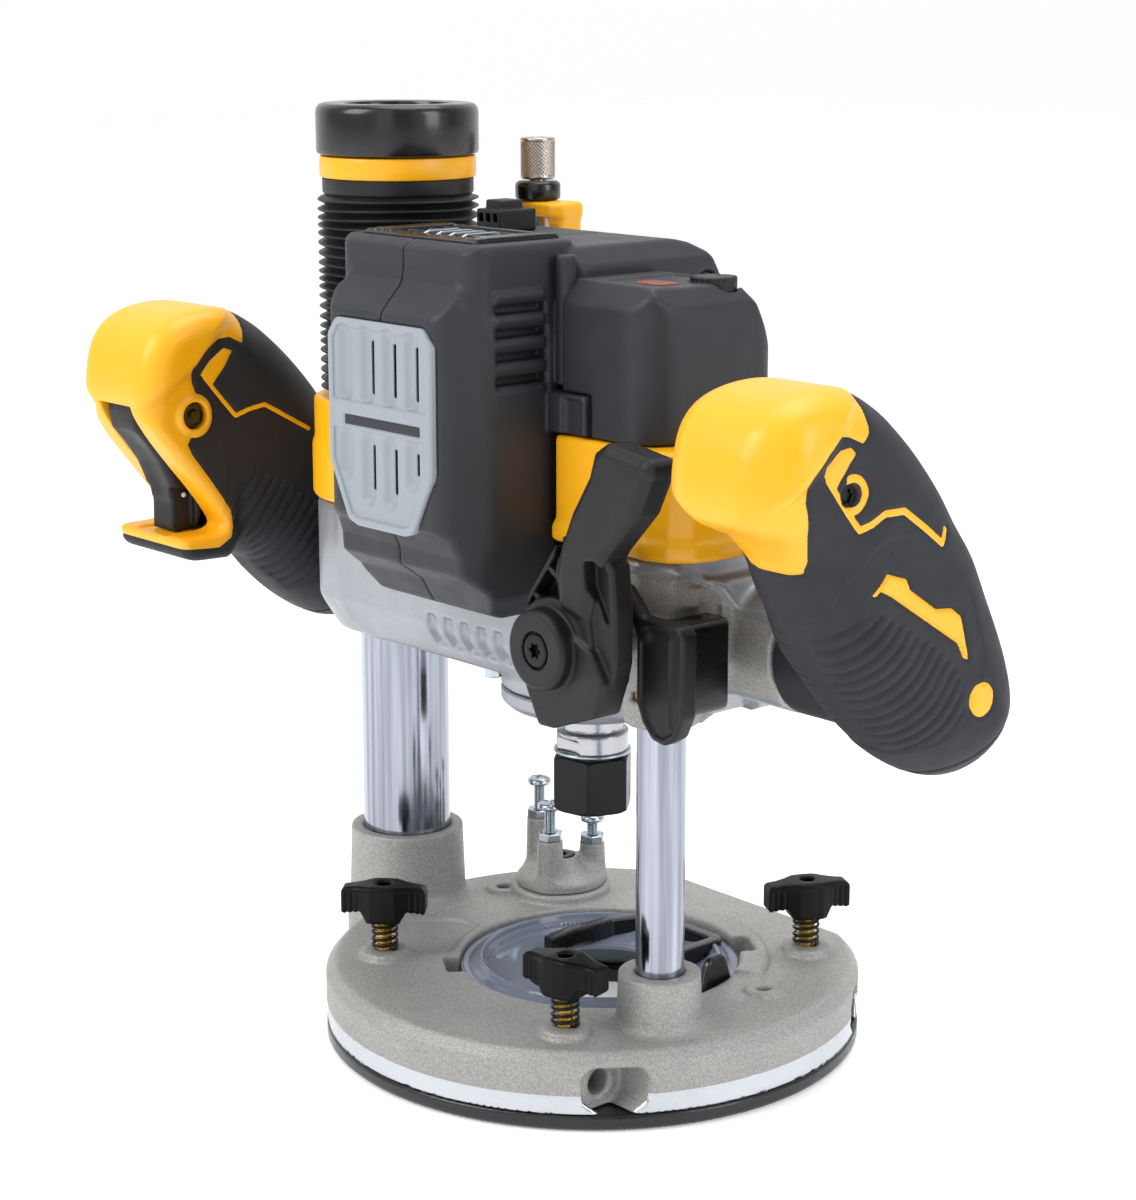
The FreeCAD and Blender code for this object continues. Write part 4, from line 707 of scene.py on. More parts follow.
# ------------------------------------------------------------------ side handles
GX, RISE = 143.5, {-1: -2.0, 1: 2.0}
BACK_EDGE = [(-87, 223.5), (-83, 229.5), (-76, 234), (-66, 236.2), (-55, 236), (-45, 233.3), (-37, 229), (-30, 223.5), (-22, 216), (-13, 205.8), (-6, 196), (1.5, 186.3), (7.5, 175), (13.5, 163.5), (17.6, 154.5), (20.6, 145),
             (21.0, 136.5), (17.5, 127.5), (10, 120.8), (1, 118.2), (-8, 119.6), (-17, 124.2), (-26, 131), (-35, 139.8)]
FRONT_PLAIN = [(-43.5, 149.5), (-52.3, 159.6), (-57.5, 170.5), (-61.8, 179), (-65, 186), (-68.5, 191), (-73.5, 195.8), (-80, 198.6), (-86.5, 201.5), (-89.0, 205), (-89.6, 209.5), (-89.0, 216)]
FRONT_TRIGGER = [(-42, 146.5), (-53, 149.6), (-62.4, 150.2), (-70.5, 150.6), (-75, 152.6), (-76.4, 156.0), (-75.2, 159.0), (-65.0, 159.3), (-60.4, 160.6), (-60.0, 163.6), (-66.6, 173.2), (-74.3, 182.7), (-82.0, 192.6), (-86.8, 200), (-88.8, 205), (-89.6, 209.5), (-89.0, 216)]
OUTLINE = {1: spline(BACK_EDGE + FRONT_PLAIN, 3, True), -1: spline(BACK_EDGE + FRONT_TRIGGER, 3, True)}
CREASE = [(-30, 246), (-50, 235), (-60, 228), (-68, 218.5), (-80, 210), (-96, 200)]


def smooth(t):
    t = np.clip(t, 0, 1)
    return t * t * (3 - 2 * t)


def above(u, v, pts):
    """How far a point lies to the left of an open line that runs forwards and down."""
    pts = np.array(pts, float)
    d = seg2(u, v, pts)
    line = np.interp(u, pts[::-1, 0], pts[::-1, 1])
    return np.where(v > line, d, -d)


def handle_body(p, sign):
    x = np.abs(p[:, 0] - sign * GX)
    y, z = p[:, 1], p[:, 2] - RISE[sign]
    d = poly2(y, z, OUTLINE[sign])
    c = above(y, z, CREASE)
    crown = smooth((c + 3.0) / 6.0)
    front = smooth((-50 - y) / 30.0)
    hornness = smooth((z - 188) / 14.0) * smooth((-40 - y) / 20.0)
    tip = 2.4 if sign > 0 else 0.6
    w = 21.2 - 1.6 * hornness + 3.6 * crown * smooth((z - 196) / 8.0) - tip * smooth((-76 - y) / 14.0)
    w = w - 3.0 * smooth((140 - z) / 30.0)
    k = 18.0 - (5.5 if sign > 0 else 9.0) * hornness
    if sign < 0:
        # crisp edge along the trigger opening
        m = smooth((-50 - y) / 8.0) * smooth((205 - z) / 8.0)
        k = k * (1 - m) + 4.0 * m
    d1, e1 = d + k, x - w + k
    return np.hypot(np.maximum(d1, 0), np.maximum(e1, 0)) + np.minimum(np.maximum(d1, e1), 0) - k


EDGE = {1: [(-40, 250), (-47, 243), (-49.8, 229.5), (-50.3, 226.4), (-53.0, 223.8), (-58.0, 226.0), (-63.5, 226.8), (-69.0, 222.8), (-73.5, 217.2), (-73.8, 210.7), (-69.8, 201.1), (-65.0, 193.0), (-63.8, 189.2), (-66, 187.0), (-72, 186.4), (-100, 186)],
        -1: [(-36, 250), (-44, 240), (-47.8, 225.8), (-49.4, 221.8), (-54.6, 224.4), (-59.0, 224.0), (-65.2, 221.0), (-70.6, 214.8), (-70.0, 210.2), (-67.8, 204.1), (-67.6, 197.4), (-71.2, 192.4), (-73.2, 189.4), (-72.0, 186.2), (-64, 175.5), (-56.6, 165), (-55.2, 160.2), (-57, 155.4), (-62, 152.6), (-80, 153.8), (-100, 156)]}
WEDGE = {1: [(-57.2, 223.2), (-55.4, 221.4), (-60.7, 215.0), (-62.6, 212.6), (-67.0, 216.4), (-66.4, 218.8), (-61.1, 222.8)], -1: [(-56.8, 220.8), (-53.8, 219.6), (-56.6, 214.6), (-61.4, 209.0), (-66.5, 212.4), (-62.6, 216.8)]}
LINE = {1: [(-65.6, 215.6), (-53.6, 200.9), (-49.2, 202.0), (-44.6, 204.3), (-37.4, 204.2), (-28.7, 198.4), (-21.4, 193.2), (-19.4, 196.6)], -1: [(-64.9, 211.6), (-53.0, 197.2), (-47.8, 199.0), (-41.7, 200.1), (-32.4, 195.0), (-22.9, 189.6)]}
PLATE = [(-48.0, 182.6), (-43.2, 187.9), (-35.5, 185.4), (-33.8, 182.2), (-23.2, 175.3), (-16.6, 174.5), (-12.6, 171.7), (-8.6, 158.6), (-10.9, 159.6), (-13.6, 164.2), (-41.2, 181.3), (-45.4, 183.4), (-47.2, 181.8)]
RIBBED = [(-55, 173), (-57, 164), (-46, 150), (-33, 136), (-26, 131.6), (-16, 135.6), (-8.4, 144), (-10.2, 151), (-12.4, 156.5), (-20.4, 164.3), (-27.4, 168.2), (-41, 176.8), (-46.5, 179.6)]


def region(pts):
    """A closed polygon from an open boundary: everything in front of it."""
    return pts + [(-130, pts[-1][1]), (-130, 260), (pts[0][0], 260)]


def yellow_of(p, sign):
    """Negative where the handle is yellow."""
    y, z = p[:, 1], p[:, 2]
    out = sign * (p[:, 0] - sign * GX)
    f = poly2(y, z, region(EDGE[sign]))
    side = np.where(np.abs(out) > 12, 0.0, 9.0)
    f = np.minimum(f, poly2(y, z, WEDGE[sign]) + side)
    f = np.minimum(f, seg2(y, z, LINE[sign]) - (0.95 if sign > 0 else 0.75) + side)
    if sign > 0:
        outer = np.where(out > 12, 0.0, 9.0)
        ring = np.abs(np.hypot(y + 56.3, z - 210.6) - 4.4) - 1.1
        f = np.minimum(f, np.maximum(ring, -(y + 58.5)) + outer)
        f = np.minimum(f, poly2(y, z, PLATE) + outer)
        f = np.minimum(f, np.hypot(y + 2.6, z - 146.3) - 4.9 + outer)
    return f


def handle_field(sign):
    def f(p):
        d = handle_body(p, sign)
        y, z = p[:, 1], p[:, 2]
        x = p[:, 0] - sign * GX
        near = np.abs(d) < 6
        if not near.any():
            return d
        q = p[near]
        yq, zq, xq = y[near], z[near], x[near]
        dd = np.zeros(len(q))
        b = np.abs(yellow_of(q, sign))
        dd += 0.5 * np.exp(-(b / 0.55) ** 2)
        # moulded grooves, wrapped round the front of the grip
        m = poly2(yq, zq, RIBBED)
        n = yq * 0.788 - zq * 0.616 + RISE[sign] * 0.616
        t = np.abs((n / 3.9) % 1.0 - 0.5) * 3.9
        dd += 0.85 * np.exp(-(t / 0.6) ** 2) * smooth(-m / 2.0) * (np.abs(xq) > 5)
        # end cap parting line, and the faceted panel round the blank plate
        cap = (yq - 2.0) * -0.46 + (zq - 128.5 - RISE[sign]) * 0.888
        dd += 0.6 * np.exp(-(cap / 0.55) ** 2)
        panel = poly2(yq, zq, [(-57, 186.5), (-49.6, 195.4), (-43.2, 198.0), (-32.7, 197.6), (-20, 189.4), (-8.8, 180), (-0.6, 158), (-8, 140), (-26, 130), (-46, 148), (-60, 164)])
        dd += 0.35 * smooth(-panel / 1.2)
        if sign > 0:
            plate = poly2(yq, zq, PLATE)
            dd -= 0.5 * smooth(-plate / 0.8) * (xq > 12)
            dd += 2.2 * smooth((3.3 - np.hypot(yq + 57.6, zq - 210.4)) / 0.8) * (xq > 12)
            dd += 0.5 * np.exp(-((np.hypot(yq + 42.4, zq - 193.4)) / 0.6) ** 2) * (xq > 12)
        d = d.copy()
        d[near] += dd
        if sign < 0:
            # opening for the trigger, bore of the lock-off button with its raised ring
            s = f_prism(p, [(-87.4, 212), (-87.4, 203), (-110, 196), (-110, 150), (-86, 156.6), (-47, 156.6), (-47, 194), (-66, 212)], -GX - 9.7, -GX + 9.7, axis=0, rnd=1.2, edge=0.3)
            d = s_(d, s, 0.4)
            ring = f_cyl(p, (-70.0, 199.0), 6.6, -GX + 10, -122.2, axis=0, rnd=1.2)
            d = u_(d, ring, 1.5)
            d = s_(d, f_cyl(p, (-70.0, 199.0), 4.75, -GX - 14, -100, axis=0), 0.5)
        return d
    return f


def make_handle(sign):
    side = "right" if sign > 0 else "left"
    f = handle_field(sign)
    lo, hi = (sign * GX - 27, -91, 104), (sign * GX + 27, 25, 243)
    V, Q = nets(f, lo, hi, HANDLE_STEP)
    split = yellow_of(V, sign)
    if sign < 0:
        ring = np.hypot(V[:, 1] + 70.0, V[:, 2] - 199.0) - 7.4
        split = np.where(V[:, 0] > -GX + 8, np.minimum(split, ring), split)
    V2, neg, pos = cut_by(V, Q.tolist(), split)
    front = ["%s_handle_core" % side] + (["right_handle_plate"] if sign > 0 else [])
    a = mesh_object(side + "_handle_shell", V2, neg, YELLOW, "carriage", front, slot="yellow_plastic")
    b = mesh_object(side + "_handle_overmould", V2, pos, RUBBER, "carriage", ["%s_handle_grip" % side] + (["handle_end_caps"] if sign > 0 else []), slot="grip_rubber")
    neck_x = (-117.6, -134) if sign < 0 else (100.4, 134)
    lo, hi = min(neck_x), max(neck_x)
    r = 18.8
    solid(side + "_handle_neck", lambda p: u_(f_cyl(p, (-2.0, 148.0), r, lo, hi, axis=0, rnd=1.4), f_cyl(p, (-2.0, 148.0), 16.5, lo - 0.0, hi, axis=0), 0.5), (lo, -21, 129), (hi, 17, 167), 1.1, RUBBER, "carriage")


HANDLE_STEP = 0.72
make_handle(1)
make_handle(-1)


# ------------------------------------------------------------------ trigger and lock-off button
def trigger_field(p):
    loop = [(-86.5, 200), (-85.4, 193.5), (-80.4, 187.5), (-76, 181), (-73.2, 174.5), (-71, 167), (-71.2, 156.8), (-62, 158), (-56.6, 168), (-58.2, 186), (-74, 191.5), (-76, 197), (-76.2, 210.8), (-86, 210.8)]
    f = f_prism(p, loop, -GX - 8.9, -GX + 8.9, axis=0, rnd=1.2, edge=2.4)
    # finger hollow and the step of the lower block
    x = p[:, 0] + GX
    f = f + 0.9 * smooth((p[:, 2] - 168) / 5) * smooth((197 - p[:, 2]) / 6) * np.exp(-(x / 5.5) ** 2) * (p[:, 1] < -64)
    f = s_(f, f_box(p, (-GX + 6.2, -74, 157.5), (-GX + 12, -63.4, 172.5), 0.8), 0.8)
    f = s_(f, f_box(p, (-GX - 12, -74, 157.5), (-GX - 6.2, -63.4, 172.5), 0.8), 0.8)
    return u_(f, f_cyl(p, (-81.3, 205.5), 2.4, -GX - 12, -GX + 12, axis=0, rnd=0.4), 0.2)


solid("trigger_lever", trigger_field, (-GX - 13, -88, 155), (-GX + 13, -55, 212), 0.8, BLACK, "switch_trigger", ["trigger"])
solid("lock_off_cap", lambda p: s_(f_cyl(p, (-70.0, 199.0), 4.35, -GX - 9.3, -GX + 15.6 + 4.0, axis=0, rnd=0.9), f_torus(p, (-GX + 20.6, -70.0, 199.0), 2.6, 1.3, axis=0), 0.4), (-GX - 10, -75, 194), (-GX + 21, -65, 204), 0.5, GLOSS, "lock_off", ["lock_off_button"])
solid("trigger_pin_mark", lambda p: f_cyl(p, (-66.3, 169.5), 0.9, -GX + 5, -GX + 8.98 - 2.4, axis=0, rnd=0.2), (-GX + 4, -68, 168), (-GX + 8, -65, 171), 0.3, WHITE, "switch_trigger")


# ------------------------------------------------------------------ sunk screws with six-lobed sockets
def torx_field(c, r, lo, hi, axis, depth, key):
    """A screw head whose face looks towards hi (or lo when hi < lo)."""
    def f(p):
        a, b = [i for i in range(3) if i != axis]
        u, v = p[:, a] - c[0], p[:, b] - c[1]
        L, H = min(lo, hi), max(lo, hi)
        d = f_cyl(p, c, r, L, H, axis=axis, rnd=0.5)
        rr, th = np.hypot(u, v), np.arctan2(v, u)
        star = rr - key * (1 + 0.16 * np.cos(6 * th))
        t = (p[:, axis] - (H - depth)) if hi > lo else ((L + depth) - p[:, axis])
        return s_(d, np.maximum(star, -t), 0.15)
    return f


solid("right_handle_screw", torx_field((-57.6, 210.4), 3.5, 157, 162.2, 0, 1.6, 1.9), (156, -62, 206), (163, -53, 215), 0.35, OXIDE, "carriage", ["housing_screws"])
solid("housing_screw_right", torx_field((13.2, 250.0), 3.5, 35.0, 37.4, 0, 1.4, 1.7), (34, 9, 245.5), (38, 17.5, 254.5), 0.35, OXIDE, "carriage")
solid("housing_screw_left", torx_field((13.2, 250.0), 3.5, -35.0, -37.4, 0, 1.4, 1.7), (-38, 9, 245.5), (-34, 17.5, 254.5), 0.35, OXIDE, "carriage")

# ------------------------------------------------------------------ yellow middle shell
MID = [(-86.4, -39.8), (34.6, -39.8), (34.6, -49.5), (76, -49.5), (84, -46.8), (89, -41), (91, -33), (91, 26), (88, 36), (80, 44), (70, 47), (-44, 47), (-44, 20.1), (-86.4, 20.1)]


def ramp01(t):
    t = np.clip(t, 0, 1)
    return t * t * (3 - 2 * t)


def mid_field(p):
    x, y, z = p[:, 0], p[:, 1], p[:, 2]
    plan = poly2_round(x, y, MID, 3.0)
    # the skirt below the crease stands 1.2 mm proud and draws in at its lower rim
    step = 1.3 * ramp01((z - 182.0) / 3.5)
    draw = 1.8 * ramp01((179.5 - z) / 3.0)
    plan = plan + np.where(x > 30, step + draw, 0.6 * step)
    lo = np.where(x > 34.6, 177.6, 170.4)
    e = np.maximum(lo - z, z - 210.0)
    f = np.hypot(np.maximum(plan + 1.4, 0), np.maximum(e + 1.4, 0)) + np.minimum(np.maximum(plan + 1.4, e + 1.4), 0) - 1.4
    lobe = f_cyl(p, (-86.4, -10.4), 30.5, 170.4, 206.0, rnd=2.5)
    lobe = lobe + 0.9 * ramp01((z - 188.0) / 4.0)
    f = u_(f, lobe, 2.0)
    f = s_(f, f_box(p, (-130, -60, 206.0), (-52, 60, 230), 0.0), 1.2)
    f = s_(f, f_box(p, (-36.6, -60, 150), (34.8, 40.6, 240), 0.5))
    f = s_(f, f_box(p, (30, -36.6, 150), (36.6, 40.6, 240), 0.3))
    f = s_(f, f_box(p, (-90, -36.6, 160), (-39.5, 17.0, 203.0), 2.0))
    f = s_(f, f_cyl(p, (-86.4, -10.4), 27.4, 160, 203.0, rnd=1.0))
    f = s_(f, f_box(p, (39.5, -43.0, 160), (84, 40.0, 205.0), 2.0))
    f = s_(f, f_cyl(p, (-86.4, -10.4), 16.2, 150, 240))
    f = s_(f, f_cyl(p, (60.2, -26.1), 8.6, 150, 240))
    return f * 0.9


solid("middle_shell_cover", mid_field, (-117, -50, 170), (92, 48, 210.5), 0.95, YELLOW, "carriage", ["middle_shell"])

# ------------------------------------------------------------------ carriage casting
CAST_LOOP = [(-86.4, -39.9), (36, -39.9), (41, -46), (70, -46), (80, -41), (84, -33), (84, 22), (78, 32), (60, 44), (-70, 44), (-78, 38), (-86.4, 19.1)]
ARCH = [(-70, 173.4), (-44, 173.4), (-34.1, 172.0), (-24.7, 167.5), (-18.6, 161.0), (-16.3, 152.4), (-16.0, 118), (-70, 118)]


def arch_split(p):
    """Negative inside the grained arch on the right front corner."""
    return np.maximum(poly2_round(p[:, 1], p[:, 2], ARCH, 2.0), 43.0 - p[:, 0])


def cast_field(p):
    x, y, z = p[:, 0], p[:, 1], p[:, 2]
    plan = poly2_round(x, y, CAST_LOOP, 3.5)
    # the lower front rim slopes back; elsewhere the rim is simply bevelled
    slope = np.where(y < 0, 13.5, 7.0) + 7.0 * ramp01((x - 40.0) / 20.0)
    under = (plan + (np.maximum(123.7 + slope - z, 0)) * 0.72) / 1.1
    e = np.maximum(123.7 - z, z - 170.0)
    f = i_(i_(plan, under, 2.0), e, 2.4)
    lobe = f_cyl(p, (-86.4, -10.4), 29.5, 124.6, 170.0, rnd=2.2)
    lobe = i_(lobe, (np.hypot(x + 86.4, y + 10.4) - 29.5 + np.maximum(137 - z, 0) * 0.6) / 1.15, 2.0)
    f = u_(f, lobe, 3.0)
    f = u_(f, f_prism(p, [(41, -46), (70, -46), (80, -40), (80, 22), (41, 22)], 160, 177.0, rnd=3.0, edge=1.2), 2.0)
    f = u_(f, f_cyl(p, (0, 0), 30.0, 118.8, 130, rnd=1.0), 2.5)
    f = u_(f, f_cyl(p, (60.2, -26.1), 12.5, 121.5, 132, rnd=1.2), 2.0)
    f = u_(f, f_cyl(p, (-2, 148), 19.0, -117.5, -88, axis=0, rnd=1.2), 4.0)
    f = u_(f, f_cyl(p, (-2, 148), 19.0, 78, 100.0, axis=0, rnd=1.2), 4.0)
    f = u_(f, f_cyl(p, (60.2, 153), 10.5, -61.0, -39, axis=1, rnd=1.0), 2.5)
    # grained arch: sunk face with a raised border strip
    d = poly2_round(y, z, ARCH, 2.0)
    near = ramp01((x - 44.0) / 4.0)
    f = f + near * 1.1 * ramp01(-d / 1.2) - near * 0.7 * ramp01(1 - np.abs(d - 1.2) / 1.8)
    # five cast ribs under the housing
    band = ramp01((x + 39.0) / 2.0) * ramp01((11.0 - x) / 2.0) * ramp01((141.6 - z) / 1.6) * ramp01((z - 129.0) / 1.6) * np.where(y < -20, 1.0, 0.0)
    rib = ramp01((np.abs((x + 31.0) / 8.4 - np.round((x + 31.0) / 8.4)) * 8.4 - 1.3) / 1.4)
    f = f + 2.0 * band * rib
    # bores
    f = s_(f, f_cyl(p, (0, 0), 33.2, 146, 190))
    f = s_(f, f_cyl(p, (0, 0), 18.0, 110, 150))
    f = s_(f, f_cyl(p, (-86.4, -10.4), 18.0, 100, 190), 0.6)
    f = s_(f, f_cyl(p, (60.2, -26.1), 10.0, 100, 190), 0.6)
    f = s_(f, f_cyl(p, (-63.5, 31.7), 4.2, 100, 190), 0.4)
    f = s_(f, f_cyl(p, (60.2, 153), 4.2, -70, -20, axis=1), 0.3)
    f = s_(f, f_box(p, (79.3, -60, 131.6), (110, -22.5, 162.6), 1.5), 0.6)
    return f * 0.92


two_tone("casting_arch", cast_field, (-119, -63, 118), (101, 45, 178), 1.0, arch_split, (CAST, SILVER), "carriage",
         (["carriage_casting"], ["carriage_casting"]), ("casting_grained_face", "casting_smooth_body"))
lathe("bearing_nose_ring", [(11.4, 111.2), (26.2, 111.2), (27.4, 111.7), (29.6, 113.7), (30.0, 114.6), (30.0, 117.6), (29.5, 118.1), (28.6, 118.2), (18.0, 118.2), (18.0, 127.6), (11.4, 127.6)], (0, 0), SILVER, "carriage",
      ["bearing_retainer"], closed=True)
for n, (hx, hy) in enumerate(((-17.5, -27.5), (22.0, -26.5))):
    # small hexagon screws under the sloping band
    solid("nose_screw_%d" % n, lambda p, hx=hx, hy=hy: s_(f_prism(p, [(hx + 3.1 * math.cos(math.radians(60 * k)), hy + 3.1 * math.sin(math.radians(60 * k))) for k in range(6)], 121.6, 127.5, rnd=0.3, edge=0.4),
                                                              f_cyl(p, (hx, hy), 1.2, 119, 122.6)), (hx - 4, hy - 4, 121), (hx + 4, hy + 4, 128), 0.4, ZINC, "carriage")

# ------------------------------------------------------------------ plunge lock lever
LX, LZ = 60.2, 153.0


def rel(pts):
    return [(LX + a, LZ + b) for a, b in pts]


ARM = rel([(-12.6, 3.5), (-9.5, 15.0), (-0.8, 27.0), (8.0, 38.5), (17.0, 52.5), (19.0, 59.5), (24.0, 62.8), (42.0, 60.0), (43.6, 58.2), (36.6, 43.8), (25.0, 31.5), (21.5, 26.5), (16.6, 11.0), (18.0, 3.0), (8, -4), (-10, -4)])
BLADE = rel([(4.6, 12.5), (3.4, 22.7), (5.2, 31.4), (9.4, 40.2), (17.0, 52.2), (19.4, 59.2), (24.2, 62.4), (41.6, 60.0), (43.4, 58.0), (36.6, 43.8), (25.0, 31.5), (20.4, 25.5), (15.0, 10.0)])
WEB = rel([(-10.6, 9.4), (-7.9, 14.2), (0.6, 25.8), (7.0, 34.6), (8.4, 38.8), (4.2, 31.6), (2.2, 22.7), (4.4, 14.9), (0, 15.0), (-6, 13.4)])
TAIL = rel([(-13.2, -3), (-9.6, -14.0), (-4.2, -24.0), (2.0, -23.8), (21.0, -16.8), (24.6, -6.5), (19, 2), (6, 8), (-8, 8)])
CHEEK = rel([(13.6, 30.6), (20.4, 31.6), (24.8, 27.6), (26.2, 14.0), (26.0, -1.0), (24.2, -8.0), (10.0, -2.0), (11.0, 14.0)])
POCKET = rel([(16.0, 28.2), (20.0, 29.0), (22.6, 25.0), (23.4, 9.0), (19.4, 15.5), (16.6, 20.5)])


def lever_field(p):
    f = f_prism(p, ARM, -71.0, -62.0, axis=1, rnd=1.6, edge=0.9)
    f = s_(f, f_prism(p, WEB, -80, -64.6, axis=1, rnd=0.8, edge=0.6), 0.4)
    for a, b in (((1.4, 34.8), (6.4, 32.2)), ((-5.6, 26.3), (3.2, 20.4)), ((-11.0, 17.0), (-4.6, 12.8))):
        rib = f_capsule(np.stack([p[:, 0], np.clip(p[:, 1], -70.0, -64) * 0, p[:, 2]], 1), (LX + a[0], 0, LZ + a[1]), (LX + b[0], 0, LZ + b[1]), 0.75)
        f = u_(f, np.maximum(np.maximum(rib, poly2(p[:, 0], p[:, 2], ARM) + 0.8), np.maximum(-70.4 - p[:, 1], p[:, 1] + 63.5)), 0.3)
    f = u_(f, f_prism(p, BLADE, -72.6, -61.8, axis=1, rnd=3.0, edge=3.2), 1.0)
    f = u_(f, f_prism(p, CHEEK, -69.4, -62.0, axis=1, rnd=1.8, edge=1.2), 0.8)
    f = s_(f, f_prism(p, POCKET, -80, -67.6, axis=1, rnd=1.0, edge=0.6), 0.5)
    f = u_(f, f_prism(p, TAIL, -72.4, -62.0, axis=1, rnd=1.8, edge=1.4), 1.2)
    f = u_(f, f_cyl(p, (LX, LZ), 14.6, -71.4, -62.0, axis=1, rnd=1.3), 0.9)
    f = u_(f, f_cyl(p, (LX, LZ), 12.0, -77.0, -70, axis=1, rnd=1.5), 0.9)
    f = s_(f, f_cyl(p, (LX, LZ), 5.7, -80, -75.3, axis=1, rnd=0.3), 0.3)
    f = s_(f, f_cyl(p, (LX, LZ), 4.1, -80, -50, axis=1))
    return f * 0.95


solid("lock_lever", lever_field, (46, -77.5, 128), (105, -61.5, 217), 0.55, BLACK, "plunge_lock", ["plunge_lock_lever"])


def bolt_field(p):
    f = f_cyl(p, (LX, LZ), 4.9, -76.9, -74.7, axis=1, rnd=0.5)
    f = u_(f, f_cyl(p, (LX, LZ), 4.0, -76, -34.7, axis=1, rnd=0.4))
    ang = np.arctan2(p[:, 2] - LZ, p[:, 0] - LX)
    r = np.hypot(p[:, 2] - LZ, p[:, 0] - LX)
    star = (r - (2.1 + 0.45 * np.cos(6 * ang))) * 0.7
    return s_(f, np.maximum(star, np.abs(p[:, 1] + 77) - 2.0), 0.15)


solid("lock_bolt_turned", bolt_field, (LX - 5.2, -77.2, LZ - 5.2), (LX + 5.2, -34.5, LZ + 5.2), 0.34, OXIDE, "plunge_lock", ["lock_bolt"])

# ------------------------------------------------------------------ spindle lock
PADDLE = [(83.0, 163.4), (98.6, 163.4), (100.4, 160.6), (100.4, 137.0), (97.4, 130.4), (92.6, 127.4), (87.6, 128.2), (83.4, 132.6), (80.8, 138.6), (81.0, 161.0)]


def paddle_field(p):
    f = f_prism(p, PADDLE, -56.5, -50.5, axis=1, rnd=2.8, edge=1.2)
    face = poly2_round(p[:, 0], p[:, 2], PADDLE, 2.8)
    f = s_(f, np.maximum(face + 1.9, p[:, 1] + 55.7), 0.4)
    f = u_(f, np.maximum(np.maximum(np.abs(p[:, 0] - 94.4) - 0.45, np.abs(p[:, 2] - 146) - 13), np.maximum(-56.4 - p[:, 1], p[:, 1] + 54)), 0.4)
    f = u_(f, f_capsule(p, (74.5, -54.2, 169.0), (84.0, -53.8, 159.0), 3.2, 3.0), 1.5)
    return f * 0.95


solid("spindle_lock_paddle", paddle_field, (70, -58, 127), (101, -50, 173), 0.5, BLACK, "spindle_lock", ["spindle_lock_button"])
solid("spindle_lock_block", lambda p: f_prism(p, [(80.2, 133.0), (91.5, 133.0), (91.5, 161.0), (80.2, 161.0)], -51.0, -29.0, axis=1, rnd=2.4, edge=0.6), (80, -51.5, 132.5), (92, -28.5, 161.5), 0.6, GLOSS, "spindle_lock", ["spindle_lock_button"])

# ------------------------------------------------------------------ base casting
TX, TY, PX, PY = -86.4, -10.4, 60.2, -26.1
WX, WY = 5.0, -1.0
CLAMPS = (("left", -42.0, -55.0, 44), ("front", 47.6, -54.0, 12), ("right", 47.9, 53.0, 62))


